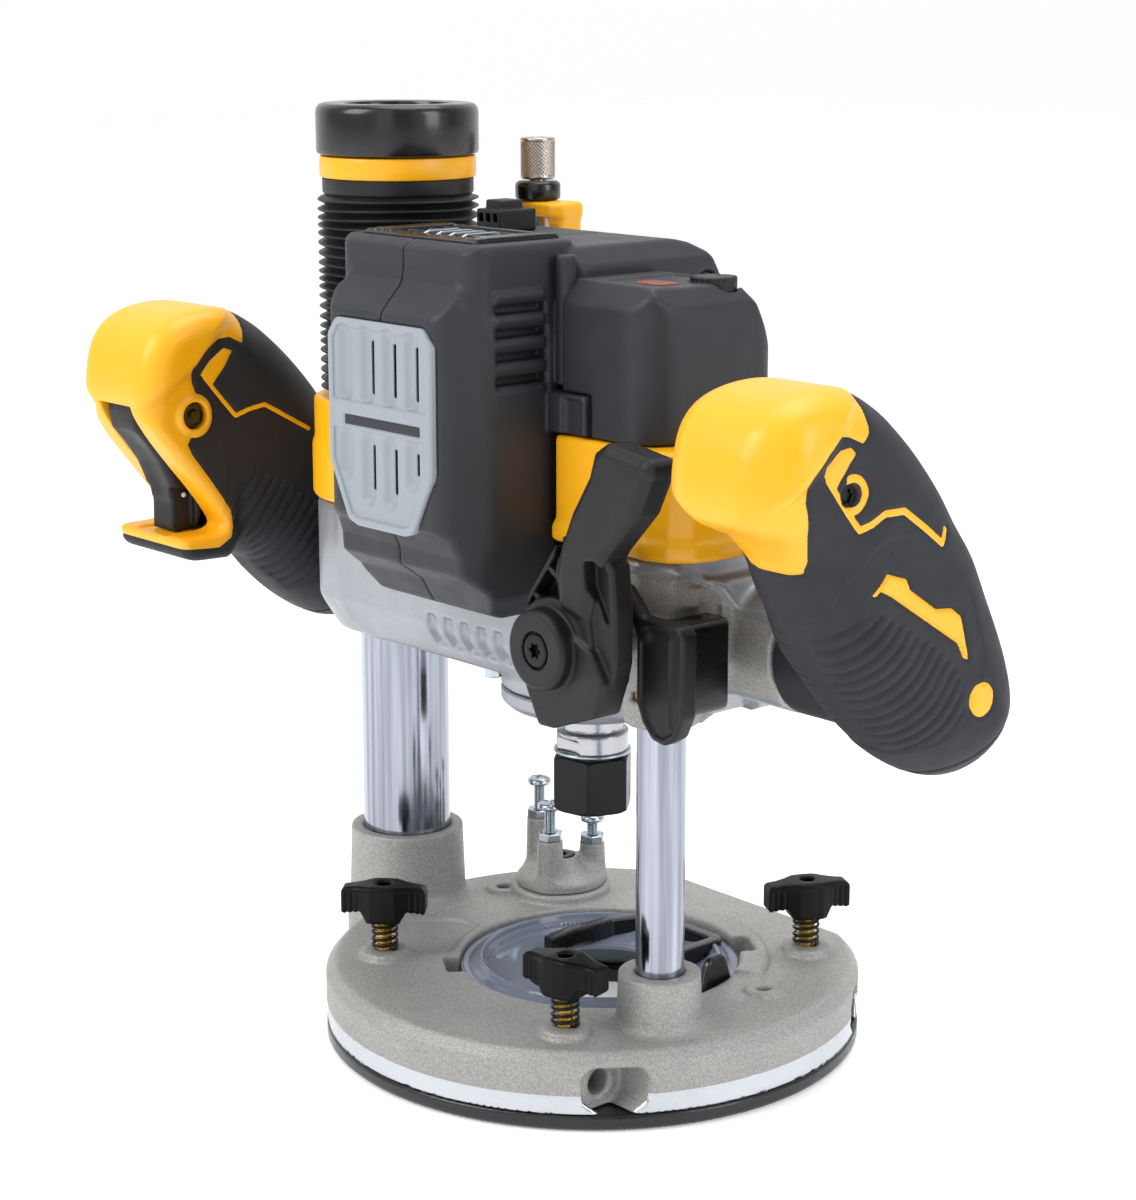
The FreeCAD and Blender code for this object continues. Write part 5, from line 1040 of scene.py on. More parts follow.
def base_field(p):
    x, y, z = p[:, 0], p[:, 1], p[:, 2]
    r = np.hypot(x, y)
    # machined band, then the cast rim with its bevel
    prof = r - np.where(z < 11.5, 88.6, 89.0)
    bevel = (r - 89.0 + np.maximum(z - 21.6, 0) * 0.9) / 1.3
    top = z - 25.4
    f = i_(i_(prof, bevel, 0.6), top, 0.9)
    f = i_(f, y - 74.0, 1.0)
    f = i_(f, 5.4 - z)
    lobe = f_cyl(p, (TX, TY), 21.5, 5.4, 25.4, rnd=1.0)
    f = u_(f, lobe, 3.0)
    f = u_(f, i_(f_cyl(p, (TX, TY), 20.6, 24.0, 52.0, r2=19.6), z - 52.0, 1.0), 4.5)
    f = u_(f, i_(f_cyl(p, (PX, PY), 14.4, 5.4, 42.5, r2=12.8), z - 42.5, 1.0), 4.0)
    # the pad under the turret, the ring ledge around the window, the clamp and thread bosses
    f = u_(f, f_cyl(p, (-52.0, 31.7), 17.8, 20, 29.0, rnd=0.8), 1.6)
    for side, cx, cy, a in CLAMPS:
        f = u_(f, f_cyl(p, (cx, cy), 8.2, 20, 28.0, rnd=0.9), 1.6)
        f = u_(f, f_cyl(p, (cx, cy), 6.2, 20, 28.0, rnd=0.6), 0.8)
    for cx, cy in ((64.1, 16.6), (-66.5, 17.4)):
        f = u_(f, f_cyl(p, (cx, cy), 6.4, 20, 26.6, rnd=0.6), 1.0)
        f = s_(f, f_cyl(p, (cx, cy), 2.5, 12.6, 40), 0.4)
    # cast steps on the deck: a lowered sector in front of the dust socket, a raised ledge behind the window
    wr = np.hypot(x - WX, y - WY)
    ang = np.degrees(np.arctan2(y - WY, x - WX))
    ledge = np.maximum(np.maximum(np.abs(wr - 51.5) - 4.6, np.abs(ang - 66) * 0.9 - 34), np.maximum(z - 26.6, 20 - z))
    f = u_(f, ledge, 1.2)
    # scallop between the dust socket and the front clamp boss
    f = s_(f, i_(f_cyl(p, (-46.0, -30.0), 17.0, 24.2, 40, rnd=0.8), 50.0 - wr, 1.0), 1.0)
    # window with two notches for the shroud tabs
    f = s_(f, f_cyl(p, (WX, WY), 46.5, 0, 60), 0.5)
    for a in (58.0, 238.0):
        cx, cy = WX + 48.0 * math.cos(math.radians(a)), WY + 48.0 * math.sin(math.radians(a))
        q = turn(p, (cx, cy, 0), 2, a)
        f = s_(f, f_box(q, (cx - 5, cy - 7, 19.0), (cx + 4.0, cy + 7, 60), 1.2), 0.6)
    # column sockets
    f = s_(f, f_cyl(p, (TX, TY), 15.3, 20.0, 60), 0.6)
    f = s_(f, f_cyl(p, (TX, TY), 13.4, 7.5, 22))
    f = s_(f, f_box(p, (TX, TY - 9, 7.5), (-36, TY + 9, 19.5), 1.0))
    f = s_(f, f_cyl(p, (PX, PY), 7.65, 8.0, 60), 0.5)
    # guide rod bores and their cast reliefs at the rim
    q = np.stack([np.abs(x), np.abs(y), z], 1)
    f = s_(f, f_cyl(q, (53.0, 13.5), 4.1, -1, 63, axis=0), 0.3)
    f = s_(f, f_prism(q, [(53.0 + a, 13.5 + b) for a, b in ((-8.6, 3), (-6.4, 7.2), (6.4, 7.2), (8.6, 3), (8.0, -4), (4, -7.8), (-4, -7.8), (-8.0, -4))], 62.0, 120, axis=0, rnd=3.0, edge=1.2), 1.0)
    # witness slits in the rim
    for a in (-89.8, -7.7):
        f = s_(f, f_cyl(p, (89.2 * math.cos(math.radians(a)), 89.2 * math.sin(math.radians(a))), 0.9, 11.4, 40), 0.3)
    for side, cx, cy, a in CLAMPS:
        f = s_(f, f_cyl(p, (cx, cy), 3.1, 13.5, 40))
    for k in range(3):
        a = math.radians(120 * k)
        f = s_(f, f_cyl(p, (75 * math.cos(a), 75 * math.sin(a)), 2.5, 0, 17))
    return f * 0.92


def base_split(p):
    """Negative on the machined band around the foot of the rim."""
    inner = 87.4 - np.hypot(p[:, 0], p[:, 1])
    wobble = 0.5 * np.sin(np.arctan2(p[:, 1], p[:, 0]) * 2.0 + 0.6)
    lobe = np.maximum(np.abs(np.hypot(p[:, 0] - TX, p[:, 1] - TY) - 21.5) - 1.0, p[:, 0] + 84.0)
    back = 73.3 - p[:, 1]
    return np.maximum(p[:, 2] - 12.2 - wobble, np.minimum(np.minimum(inner, back), lobe))


two_tone("base_casting", base_field, (-108, -89, 5), (89, 74.5, 53), 1.05, base_split, (MACHINED, CAST), "base",
         (["base_casting"], ["base_casting"]), ("base_machined_band", "base_cast_body"))


def sole_field(p):
    x, y, z = p[:, 0], p[:, 1], p[:, 2]
    f = i_(np.hypot(x, y) - 88.8 + np.maximum(1.4 - z, 0), y - 73.9, 0.8)
    f = i_(f, np.abs(z - 2.6) - 2.6, 0.6)
    f = s_(f, f_cyl(p, (0, 0), 36.0, -1, 9), 0.8)
    for k in range(3):
        a = math.radians(120 * k)
        f = s_(f, f_cyl(p, (75 * math.cos(a), 75 * math.sin(a)), 4.9, -3, 3.2), 0.3)
        f = s_(f, f_cyl(p, (75 * math.cos(a), 75 * math.sin(a)), 2.5, -3, 9))
    for r in (52.0, 60.0, 68.0):
        f = f + 0.22 * ramp01(1 - np.abs(np.hypot(x, y) - r) / 0.9) * ramp01((0.8 - z) / 0.6)
    return f * 0.85


solid("sub_base_sole", sole_field, (-89, -89, 0), (89, 74.2, 5.3), 0.95, SOLE, "base", ["sub_base_plate"])

# ------------------------------------------------------------------ dust shroud in the window
def shroud_field(p):
    x, y, z = p[:, 0] - WX, p[:, 1] - WY, p[:, 2]
    r = np.hypot(x, y)
    # a shallow dish with a rolled lip and one ring step
    top = np.interp(r, [0, 26, 34, 36.5, 38, 41.5, 43.5, 46.3], [19.6, 19.8, 21.4, 22.2, 24.2, 25.0, 23.2, 23.8])
    f = np.maximum(np.abs(z - top + 0.8) - 0.8, np.maximum(r - 46.2, 24.5 - r))
    f = u_(f, np.maximum(np.abs(r - 45.4) - 0.8, np.maximum(5.3 - z, z - 23.0)), 0.6)
    f = u_(f, f_torus(p, (WX, WY, 25.2), 39.6, 0.9), 1.0)
    f = s_(f, f_cyl(p, (PX, PY), 15.0, 0, 60))
    f = s_(f, f_box(p, (-70, TY - 9, 7), (-25, TY + 9, 20)))
    return f * 0.8


solid("dust_shroud_dish", shroud_field, (-42, -48.5, 5), (52.5, 46.5, 27), 0.7, SMOKE, "base", ["dust_shroud"])


CHIP_LOOP = [(-12, -26), (-18, -14), (-20.5, 6), (-19, 24), (-12, 40), (24, 40), (24, -26)]


def tunnel_field(p):
    # raised rim of the chip window, open toward the front and clear of the cutter's way
    d = poly2_round(p[:, 0], p[:, 1], CHIP_LOOP, 5.0)
    f = i_(np.abs(d + 2.3) - 2.3, np.abs(p[:, 2] - 23.4) - 3.4, 1.2)
    f = s_(f, f_box(p, (-30, -30, 10), (30, -5, 40), 1.0), 0.8)
    f = s_(f, f_cyl(p, (PX, PY), 15.0, 0, 60), 0.5)
    return i_(f, np.hypot(p[:, 0] - WX, p[:, 1] - WY) - 45.6, 0.8)


solid("dust_shroud_tunnel", tunnel_field, (-28, -20, 19.5), (26, 42, 27.5), 0.55, GLOSS, "base", ["dust_shroud"])


def tab_field(p):
    c = (WX + 41.5, WY + 12.5, 0)
    q = turn(p, c, 2, 12)
    f = f_prism(q, [(c[1] - 8.5, 14), (c[1] + 8.5, 14), (c[1] + 8.5, 24), (c[1] + 4, 34), (c[1] - 4, 34), (c[1] - 8.5, 24)], c[0] - 1.3, c[0] + 1.3, axis=0, rnd=4.0, edge=0.7)
    return f


solid("dust_shroud_tab", tab_field, (38, 0, 13), (54, 24, 35), 0.45, GLOSS, "base", ["dust_shroud"])

# ------------------------------------------------------------------ columns
lathe("dust_tube_chromed", [(15.25, 20.1), (15.25, 285.4), (13.5, 285.4), (13.5, 20.1)], (TX, TY), CHROME, "base", ["dust_tube"], closed=True)
lathe("guide_column_ground", [(0.01, 14.0), (5.7, 14.0), (5.7, 189.9), (6.5, 189.9), (7.6, 188.9), (7.6, 8.1), (0.01, 8.1)], (PX, PY), CHROME, "base", ["guide_column"], closed=True)
for n, (bx, by, br, bi, z0, z1) in enumerate(((TX, TY, 17.9, 15.4, 126.1, 139.9), (TX, TY, 17.9, 15.4, 156.1, 169.6), (PX, PY, 9.9, 7.75, 125.6, 133.9), (PX, PY, 9.9, 7.75, 160.1, 173.9))):
    lathe("column_bush_%d" % n, [(bi, z0 + 0.4), (bi + 0.4, z0), (br - 0.4, z0), (br, z0 + 0.4), (br, z1 - 0.4), (br - 0.4, z1), (bi + 0.4, z1), (bi, z1 - 0.4)], (bx, by), BRONZE, "carriage", ["column_bushes"], closed=True)

lathe("dust_port_cap", [(13.5, 285.6), (25.9, 285.6), (26.9, 286.2), (27.2, 287.2), (27.2, 299.4), (26.9, 300.9), (25.9, 302.1), (24.6, 302.5), (19.0, 302.5), (17.9, 302.2), (17.5, 301.4), (17.5, 287.6), (13.5, 287.6)],
      (TX, TY), GLOSS, "base", ["dust_port_collar"], closed=True)
lathe("dust_port_ring", [(15.4, 278.1), (25.2, 278.1), (25.9, 278.4), (26.2, 279.2), (26.2, 284.2), (25.9, 285.1), (25.2, 285.4), (15.4, 285.4)], (TX, TY), YELLOW, "base", ["dust_port_band"], closed=True)


def bellows():
    pleats, z0, z1 = 22, 206.6, 272.6
    pitch = (z1 - z0) / pleats
    prof = []
    for i in range(pleats):
        a = z0 + pitch * i
        prof += [(24.6, a), (24.9, a + 0.12 * pitch), (26.2, a + 0.30 * pitch), (26.95, a + 0.42 * pitch), (27.1, a + 0.5 * pitch), (26.95, a + 0.58 * pitch), (26.2, a + 0.70 * pitch), (24.9, a + 0.88 * pitch)]
    prof += [(24.6, z1), (25.2, z1 + 0.5), (25.35, z1 + 1.2), (25.35, 277.9), (23.4, 277.9), (23.4, z0)]
    o = lathe("dust_bellows_pleated", prof, (TX, TY), BELLOWS, "base", ["dust_bellows"], closed=True, sharp=70)
    # the mesh is left free of its body once it is made
    for v in o.data.vertices:
        x, y, z = v.co[0] / MM - TX, v.co[1] / MM - TY, v.co[2] / MM
        if z0 + 1 < z < z1 - 1:
            a = math.atan2(y, x)
            w = min(1.0, (z - z0) / 12.0, (z1 + 4 - z) / 12.0)
            v.co[2] += MM * w * 0.55 * math.sin(a * 1.0 + 0.9) * math.sin((z - z0) * 0.33) + MM * w * 0.25 * math.sin(3 * a + z * 0.11)
    return o


o = bellows()
if o.parent is not None:
    world_m = o.matrix_world.copy()
    o.parent = None
    o.matrix_world = world_m
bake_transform(o)


def return_coil():
    pts, turns, per = [], 42, 16
    for i in range(turns * per + 1):
        t, g = i / (turns * per), 2 * math.pi * i / per
        pts.append((PX + 4.6 * math.cos(g), PY + 4.6 * math.sin(g), 15.0 + 229.6 * t))
    return tube_along("return_spring_coil", pts, 0.58, STEEL, "base", ["return_spring"], segs=8)


# the plunge spring in the hollow column, which closes up as the carriage comes down, is left free of its body
o = return_coil()
if o.parent is not None:
    world_m = o.matrix_world.copy()
    o.parent = None
    o.matrix_world = world_m
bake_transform(o)

# ------------------------------------------------------------------ clamp knobs, screws and springs
def knob_field(cx, cy, ang):
    def f(p):
        q = turn(p, (cx, cy, 0), 2, ang)
        x, y, z = q[:, 0] - cx, q[:, 1] - cy, q[:, 2]
        ax = np.abs(x)
        half = np.interp(ax, [0, 4, 7, 10, 14], [6.4, 6.1, 4.6, 3.6, 3.4])
        d = np.maximum(np.abs(y) - half, ax - 14.0) * 0.9
        low = np.interp(ax, [0, 5.5, 7.5, 14], [38.0, 38.0, 41.5, 40.6])
        e = np.maximum(low - z, z - np.interp(ax, [0, 3, 6, 14], [50.9, 50.9, 50.6, 49.8]))
        k = 1.5
        g = np.hypot(np.maximum(d + k, 0), np.maximum(e + k, 0)) + np.minimum(np.maximum(d + k, e + k), 0) - k
        # grip flutes down both faces of the wings
        for t in (8.3, 10.2, 12.1):
            g = g + 0.35 * ramp01(1 - np.abs(ax - t) / 0.6) * ramp01((49.0 - z) / 1.5)
        g = s_(g, f_cyl(q, (cx, cy), 2.4, 48.6, 60), 0.8)
        g = s_(g, f_cyl(q, (cx, cy), 3.0, 30, 44.0))
        return g * 0.85
    return f


for side, cx, cy, ang in CLAMPS:
    body = "knob_" + side
    solid("clamp_knob_%s_wings" % side, knob_field(cx, cy, ang), (cx - 15, cy - 15, 37.5), (cx + 15, cy + 15, 51.5), 0.45, KNOB, body, ["clamp_knob_" + side])
    prof = [(0.01, 18.3), (2.2, 18.3)]
    z = 19.0
    while z < 43.4:
        prof += [(2.5, z), (3.0, z + 0.35), (3.0, z + 0.45), (2.5, z + 0.8)]
        z += 0.8
    prof += [(2.5, 43.9), (0.01, 43.9)]
    lathe("clamp_screw_%s_thread" % side, prof, (cx, cy), BRASS, body, ["clamp_screw_" + side], segs=40, sharp=25)
    pts = []
    turns = 4.4
    for i in range(int(turns * 20) + 1):
        a = 2 * math.pi * i / 20.0
        t = i / (turns * 20.0)
        lift = 0.45 * (0 if t < 0.12 else 1)
        pts.append((cx + 4.1 * math.cos(a), cy + 4.1 * math.sin(a), 28.65 + (37.3 - 28.65) * (t + 0.035 * math.sin(2 * math.pi * t) * -1)))
    tube_along("clamp_spring_%s" % side, pts, 0.5, OXIDE, "base", ["clamp_springs"], segs=8)

# ------------------------------------------------------------------ turret stop
UX, UY = -52.0, 31.7
POSTS = ((180, 50.5, 65.8), (300, 48.0, 62.6), (60, 43.0, 54.0))


def turret_field(p):
    x, y, z = p[:, 0] - UX, p[:, 1] - UY, p[:, 2]
    r = np.hypot(x, y)
    dome = np.interp(r, [0, 6, 9, 12, 14.5, 15.6], [38.4, 38.0, 36.4, 34.6, 33.0, 32.4])
    f = np.maximum(np.maximum((z - dome) * 0.85, 29.3 - z), r - 15.6)
    f = np.maximum(f, (r - 15.6 + np.maximum(z - 31.6, 0) * 0.5) * 0.9)
    for a, top, head in POSTS:
        cx, cy = 11.5 * math.cos(math.radians(a)), 11.5 * math.sin(math.radians(a))
        f = u_(f, f_cyl(p, (UX + cx, UY + cy), 4.9, 30, top, r2=4.4), 3.0)
    f = u_(f, f_cyl(p, (UX, UY), 6.6, 30, 39.0, rnd=1.0), 1.6)
    f = i_(f, 29.3 - z)
    f = s_(f, f_cyl(p, (UX, UY), 5.1, 36.8, 80), 0.4)
    f = s_(f, f_cyl(p, (UX, UY), 3.1, 20, 80))
    for a, top, head in POSTS:
        cx, cy = 11.5 * math.cos(math.radians(a)), 11.5 * math.sin(math.radians(a))
        f = s_(f, f_cyl(p, (UX + cx, UY + cy), 2.05, 33, 80))
    return f * 0.9


solid("turret_dome", turret_field, (-68, 15.5, 29), (-36, 48, 51), 0.5, CAST, "turret", ["turret_stop"])
for n, (a, top, head) in enumerate(POSTS):
    cx, cy = UX + 11.5 * math.cos(math.radians(a)), UY + 11.5 * math.sin(math.radians(a))
    prof = [(0.01, top - 10.6), (1.8, top - 10.6)]
    z = top - 10.0
    while z < head - 3.6:
        prof += [(1.65, z), (2.0, z + 0.28), (1.65, z + 0.56)]
        z += 0.56
    prof += [(1.65, head - 3.2), (0.01, head - 3.2)]
    lathe("turret_screw_thread_%d" % n, prof, (cx, cy), ZINC, "turret", ["turret_stop_screws"], segs=32, sharp=25)

    def head_field(p, cx=cx, cy=cy, head=head, a=a):
        f = i_(f_cyl(p, (cx, cy), 4.3, head - 3.1, head - 0.1, rnd=0.7), f_capsule(p, (cx, cy, head - 7.4), (cx, cy, head - 7.3), 7.35), 0.8)
        q = turn(p, (cx, cy, 0), 2, 25 + a)
        f = s_(f, f_box(q, (cx - 5, cy - 0.5, head - 1.3), (cx + 5, cy + 0.5, head + 2)), 0.15)
        return s_(f, f_box(q, (cx - 0.5, cy - 2.1, head - 1.6), (cx + 0.5, cy + 2.1, head + 2)), 0.15)

    solid("turret_screw_head_%d" % n, head_field, (cx - 4.6, cy - 4.6, head - 3.4), (cx + 4.6, cy + 4.6, head + 0.2), 0.3, ZINC, "turret", ["turret_stop_screws"])

    def nut_field(p, cx=cx, cy=cy, top=top, a=a):
        q = turn(p, (cx, cy, 0), 2, 12 + a)
        f = f_prism(q, [(cx + 4.6 * math.cos(math.radians(60 * k)), cy + 4.6 * math.sin(math.radians(60 * k))) for k in range(6)], top + 0.05, top + 3.05, rnd=0.25, edge=0.2)
        f = i_(f, f_capsule(p, (cx, cy, top + 1.5), (cx, cy, top + 1.6), 4.7), 0.2)
        return s_(f, f_cyl(p, (cx, cy), 2.05, top - 3, top + 9))

    solid("turret_nut_%d" % n, nut_field, (cx - 4.8, cy - 4.8, top - 0.2), (cx + 4.8, cy + 4.8, top + 3.3), 0.3, ZINC, "turret", ["turret_lock_nuts"])


def pivot_field(p):
    f = f_cyl(p, (UX, UY), 4.7, 36.95, 39.3, rnd=0.5)
    f = u_(f, f_cyl(p, (UX, UY), 2.95, 12.4, 37.5, rnd=0.3))
    return s_(f, f_prism(p, [(UX + 2.4 * math.cos(math.radians(60 * k)), UY + 2.4 * math.sin(math.radians(60 * k))) for k in range(6)], 37.9, 45, rnd=0.2, edge=0.1), 0.1)


solid("turret_pivot_bolt", pivot_field, (UX - 5, UY - 5, 12), (UX + 5, UY + 5, 39.6), 0.4, OXIDE, "base", ["turret_pivot_screw"])

# ------------------------------------------------------------------ depth rod, collar, fine knob and cursor
RX, RY = -63.5, 31.7
lathe("depth_rod_ground", [(0.01, 126.7), (3.4, 126.7), (4.0, 127.3), (4.0, 269.4), (0.01, 269.4)], (RX, RY), STEEL, "depth_stop", ["depth_rod"], segs=48)
lathe("depth_rod_ring", [(0.01, 265.6), (2.9, 265.6), (2.9, 269.6), (6.6, 269.6), (7.4, 270.0), (7.7, 270.7), (7.7, 274.6), (7.4, 275.4), (6.4, 276.1), (3.05, 276.1), (3.05, 273.0), (0.01, 273.0)], (RX, RY), GLOSS, "depth_stop", ["depth_rod_collar"], segs=72)


def fine_field(p):
    x, y, z = p[:, 0] - RX, p[:, 1] - RY, p[:, 2]
    a = np.arctan2(y, x)
    f = f_cyl(p, (RX, RY), 5.9, 276.7, 290.5, rnd=0.7)
    body = ramp01((z - 277.6) / 0.5) * ramp01((289.6 - z) / 0.5)
    k1 = np.abs(np.sin(a * 15 + z * 2.6))
    k2 = np.abs(np.sin(a * 15 - z * 2.6))
    f = f + body * 0.38 * (1 - np.minimum(k1, k2) * 1.0) * 0.9 - 0.0
    f = s_(f, f_cyl(p, (RX, RY), 2.2, 289.2, 300), 0.4)
    return u_(f, f_cyl(p, (RX, RY), 2.9, 273.2, 277.5)) * 0.8


solid("fine_knob_knurled", fine_field, (RX - 6.2, RY - 6.2, 273), (RX + 6.2, RY + 6.2, 291), 0.27, KNURLED, "fine_adjuster", ["depth_fine_knob"])


def cursor_field(p):
    f = f_prism(p, [(RX - 8.5, RY - 7), (RX + 17.4, RY - 7), (RX + 17.4, RY + 7), (RX - 8.5, RY + 7)], 264.7, 269.3, rnd=4.5, edge=1.2)
    f = u_(f, f_box(p, (RX + 9.1, RY - 4.4, 243.2), (RX + 17.4, RY + 4.9, 269.2), 1.6), 2.2)
    f = s_(f, f_box(p, (RX + 5, RY - 6, 246), (RX + 15.4, RY - 3.2, 262), 0.5), 0.5)
    return s_(f, f_cyl(p, (RX, RY), 4.02, 250, 280))


solid("depth_cursor_bracket", cursor_field, (RX - 9, RY - 7.4, 243), (RX + 18, RY + 7.4, 269.6), 0.5, YELLOW, "depth_stop", ["depth_cursor"])

# ------------------------------------------------------------------ roof: battery seat, contact block and dial
def rails_field(p):
    x = np.abs(p[:, 0])
    q = np.stack([x, p[:, 1], p[:, 2]], 1)
    f = f_box(p, (-26.4, -70.6, 265.8), (26.4, -37.4, 267.5), 0.4)
    f = u_(f, f_box(q, (22.4, -69.6, 266), (26.2, -38.0, 268.2), 0.5), 0.3)
    f = u_(f, f_box(q, (19.4, -66.0, 267.3), (26.2, -40.0, 268.3), 0.4), 0.3)
    f = s_(f, f_box(q, (-1, -62, 266.8), (19.0, -40, 270), 0.4), 0.2)
    f = u_(f, f_box(p, (-22.0, -40.4, 265.8), (22.0, -37.6, 268.0), 0.6), 0.4)
    for n, y in enumerate((-58.0, -50.0, -44.0)):
        f = u_(f, f_box(q, (2 + n, y - 0.6, 266), (18.6, y + 0.6, 267.6), 0.3))
    return f


solid("battery_seat", rails_field, (-27, -71, 265), (27, -37, 269), 0.5, GLOSS, "carriage", ["battery_rails"])


def contact_field(p):
    f = f_box(p, (-29.0, -24, 264.6), (-17.0, -9.0, 271.6), 0.7)
    f = u_(f, f_box(p, (-28.0, -21, 270), (-20.0, -12.0, 274.3), 0.7), 0.4)
    for k in range(3):
        f = s_(f, f_box(p, (-27.6 + 3.5 * k, -25, 267.6), (-25.6 + 3.5 * k, -20.0, 270.2), 0.3), 0.2)
    return f


solid("contact_block", contact_field, (-30, -25, 264.4), (-16, -8, 275), 0.4, BLACK, "carriage", ["terminal_block"])
for n, bx in enumerate((-9.0, -3.0, 3.0, 9.0)):
    solid("contact_blade_%d" % n, lambda p, bx=bx: f_prism(p, [(-61, 266.4), (-46, 266.4), (-46, 267.4), (-48, 268.1), (-59, 268.1), (-61, 267.4)], bx - 0.45, bx + 0.45, axis=0, rnd=0.4, edge=0.15), (bx - 0.6, -62, 266), (bx + 0.6, -45, 268.6), 0.3, ZINC, "carriage")


def dial_field(p):
    x, y, z = p[:, 0] - 66.0, p[:, 1] + 12.0, p[:, 2]
    a = np.arctan2(y, x)
    r = np.hypot(x, y)
    f = f_cyl(p, (66.0, -12.0), 6.95, 249.0, 256.9, rnd=0.5)
    f = f + 0.3 * np.abs(np.sin(a * 12)) * ramp01((r - 5.6) / 0.8) * ramp01((z - 255.0) / 0.5)
    return s_(f, f_box(turn(p, (66.0, -12.0, 0), 2, 20), (65.55, -11.0, 256.5), (66.45, -5.6, 258), 0.2), 0.1)


solid("speed_dial_wheel", dial_field, (58.8, -19.2, 249), (73.2, -4.8, 257.2), 0.34, BLACK, "speed_wheel", ["speed_dial"])
solid("speed_panel", lambda p: f_prism(p, [(54.8, -33.2), (63.6, -33.2), (65.2, -30.6), (65.2, -24.4), (53.0, -24.4), (53.0, -31.4)], 254.9, 255.6, rnd=1.8, edge=0.3), (48, -35, 254.6), (68, -21.5, 256), 0.36, AMBER, "carriage")

# ------------------------------------------------------------------ every CAD piece that stays gets its finish
# ------------------------------------------------------------------ CAD pieces named in FINISH get their finish
FINISH = {
    "sub_base_screws": ZINC, "lower_bearing": STEEL, "stator": COPPER, "upper_bearing_carrier": BLACK, "upper_bearing": STEEL,
    "controller_module": BLACK, "cooling_fan": BLACK, "rotor": LAMINATED, "collet": STEEL, "nut_retaining_ring": ZINC, "switch_module": BLACK, "handle_end_caps": RUBBER,
    "spindle_shaft": STEEL, "collet_nut": OXIDE, "clamp_springs": OXIDE,
}
for node_name, obj in sorted(frame["nodes"].items()):
    finish = FINISH.get(node_name)
    if finish is not None:
        if not obj.material_slots:
            obj.data.materials.append(finish)
        for s in obj.material_slots:
            s.material = finish


# ------------------------------------------------------------------ collet nut and spindle nose
def nut_case(p):
    x, y, z = p[:, 0], p[:, 1], p[:, 2]
    q = turn(p, (0, 0, 0), 2, -49)
    f = f_prism(q, [(13.856 * math.cos(math.radians(60 * k)), 13.856 * math.sin(math.radians(60 * k))) for k in range(6)], 76.0, 94.4, rnd=0.5, edge=0.5)
    r = np.hypot(x, y)
    f = i_(f, (r - 12.4 - np.maximum(z - 76.0, 0) * 1.1) * 0.7, 0.3)
    f = i_(f, (r - 12.6 - np.maximum(94.4 - z, 0) * 1.6) * 0.6, 0.3)
    f = s_(f, f_cyl(p, (0, 0), 8.5, 70, 80.2), 0.3)
    return s_(f, f_cyl(p, (0, 0), 9.0, 79, 99))


solid("collet_nut_hexagon", nut_case, (-14, -14, 75.8), (14, 14, 94.6), 0.45, OXIDE, "spindle", ["collet_nut"])


def shaft_field(p):
    x, y, z = p[:, 0], p[:, 1], p[:, 2]
    f = f_cyl(p, (0, 0), 8.95, 80.1, 96, rnd=0.3)
    f = u_(f, f_cyl(p, (0, 0), 11.9, 95.5, 103.0, rnd=0.8))
    f = u_(f, f_cyl(p, (0, 0), 9.95, 100, 226.3, rnd=0.4), 0.4)
    f = u_(f, f_cyl(p, (0, 0), 5.95, 220, 239.9, rnd=0.6))
    f = s_(f, f_box(p, (-20, -20, 95.0), (20, -10.4, 101.0)), 0.2)
    f = s_(f, f_box(p, (-20, 10.4, 95.0), (20, 20, 101.0)), 0.2)
    return s_(f, f_cyl(p, (0, 0), 7.7, 70, 109.0))


solid("spindle_turned", shaft_field, (-12.5, -12.5, 80), (12.5, 12.5, 240), 0.8, STEEL, "spindle", ["spindle_shaft"])

# ------------------------------------------------------------------ room, light and camera
def floor():
    m = bpy.data.meshes.new("floor")
    m.from_pydata([(-6, -6, 0), (6, -6, 0), (6, 6, 0), (-6, 6, 0)], [], [[0, 1, 2, 3]])
    o = bpy.data.objects.new("floor", m)
    bpy.context.scene.collection.objects.link(o)
    mat = bpy.data.materials.new("pale_floor")
    mat.use_nodes = True
    nt = mat.node_tree
    b = nt.nodes["Principled BSDF"]
    tc = nt.nodes.new("ShaderNodeTexCoord")
    n = nt.nodes.new("ShaderNodeTexNoise")
    n.inputs["Scale"].default_value = 3.0
    r = nt.nodes.new("ShaderNodeValToRGB")
    r.color_ramp.elements[0].color = (0.86, 0.86, 0.865, 1)
    r.color_ramp.elements[1].color = (0.90, 0.90, 0.90, 1)
    nt.links.new(tc.outputs["Object"], n.inputs["Vector"])
    nt.links.new(n.outputs["Fac"], r.inputs["Fac"])
    nt.links.new(r.outputs["Color"], b.inputs["Base Color"])
    b.inputs["Roughness"].default_value = 0.6
    b.inputs["Specular IOR Level"].default_value = 0.1
    b.inputs["Emission Color"].default_value = (1, 1, 1, 1)
    b.inputs["Emission Strength"].default_value = 0.32
    m.materials.append(mat)


floor()
world = bpy.data.worlds.new("studio")
bpy.context.scene.world = world
world.use_nodes = True


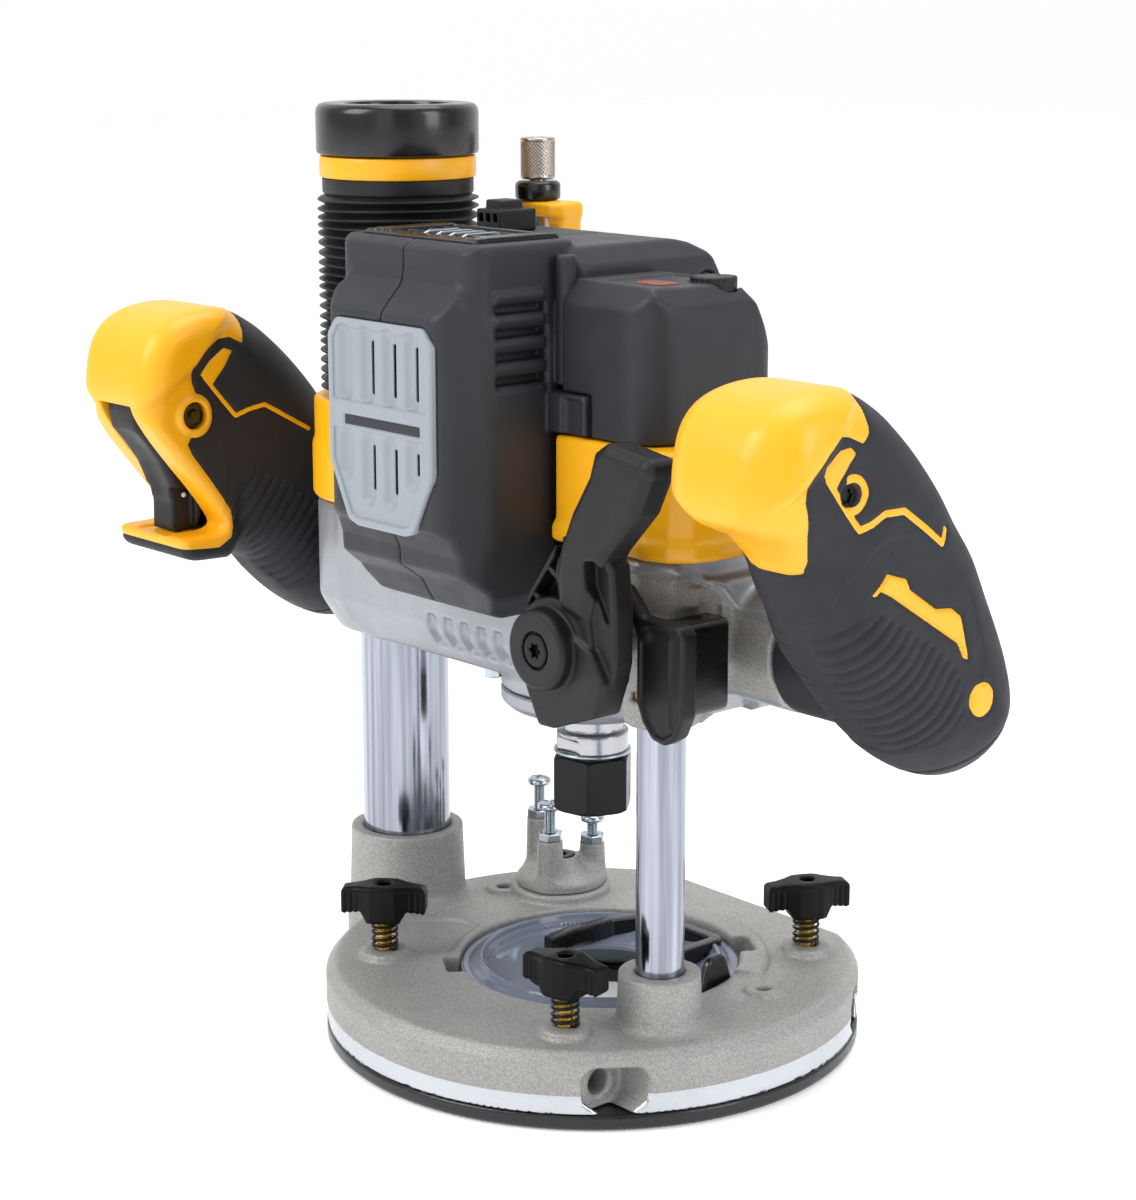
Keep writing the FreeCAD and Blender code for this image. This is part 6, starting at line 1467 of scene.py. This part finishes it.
def studio():
    """A white room with darker strips at some bearings, so that turned metal shows bands."""
    nt = world.node_tree
    bg = nt.nodes["Background"]
    tc = nt.nodes.new("ShaderNodeTexCoord")
    g = nt.nodes.new("ShaderNodeTexGradient")
    g.gradient_type = "RADIAL"
    nt.links.new(tc.outputs["Generated"], g.inputs["Vector"])
    r = nt.nodes.new("ShaderNodeValToRGB")
    r.color_ramp.interpolation = "EASE"
    stops = [(0.0, 1.0), (0.05, 0.95), (0.085, 0.50), (0.20, 0.42), (0.29, 0.50), (0.325, 1.25), (0.365, 1.25), (0.395, 0.25), (0.43, 0.30), (0.47, 0.72), (0.58, 0.80), (0.625, 0.28), (0.67, 0.60), (0.74, 1.0), (1.0, 1.0)]
    e = r.color_ramp.elements
    e[0].position, e[1].position = stops[0][0], stops[-1][0]
    e[0].color, e[1].color = (stops[0][1],) * 3 + (1,), (stops[-1][1],) * 3 + (1,)
    for pos, v in stops[1:-1]:
        n = e.new(pos)
        n.color = (v * 0.98, v * 0.985, v * 1.0 if v > 0.9 else v * 1.08, 1)
    nt.links.new(g.outputs["Fac"], r.inputs["Fac"])
    nt.links.new(r.outputs["Color"], bg.inputs["Color"])
    bg.inputs["Strength"].default_value = 1.0


studio()


def lamp(name, loc, target, size, power, size_y=None):
    d = bpy.data.lights.new(name, "AREA")
    d.shape = "RECTANGLE"
    d.size, d.size_y = size, size_y or size
    d.energy = power
    o = bpy.data.objects.new(name, d)
    bpy.context.scene.collection.objects.link(o)
    o.location = loc
    o.rotation_mode = "QUATERNION"
    o.rotation_quaternion = (Vector(target) - Vector(loc)).to_track_quat("-Z", "Y")
    return o


lamp("key", (-0.35, -1.15, 1.05), (0, 0, 0.15), 0.7, 12, 0.9)
lamp("right", (1.3, 0.3, 0.7), (0, 0, 0.15), 0.5, 6, 0.9)
lamp("top", (0.0, 0.2, 1.4), (0, 0, 0.15), 0.9, 8, 0.9)

cam_data = bpy.data.cameras.new("camera")
cam = bpy.data.objects.new("camera", cam_data)
bpy.context.scene.collection.objects.link(cam)
cam.location = (0.6107, -0.5511, 0.3362)
cam.rotation_euler = (math.radians(76.97), 0, math.radians(48.5))
cam_data.lens = 78.0
cam_data.sensor_width = 36.0
cam_data.clip_start, cam_data.clip_end = 0.01, 50
bpy.context.scene.camera = cam
bpy.context.scene.view_settings.view_transform = "Standard"
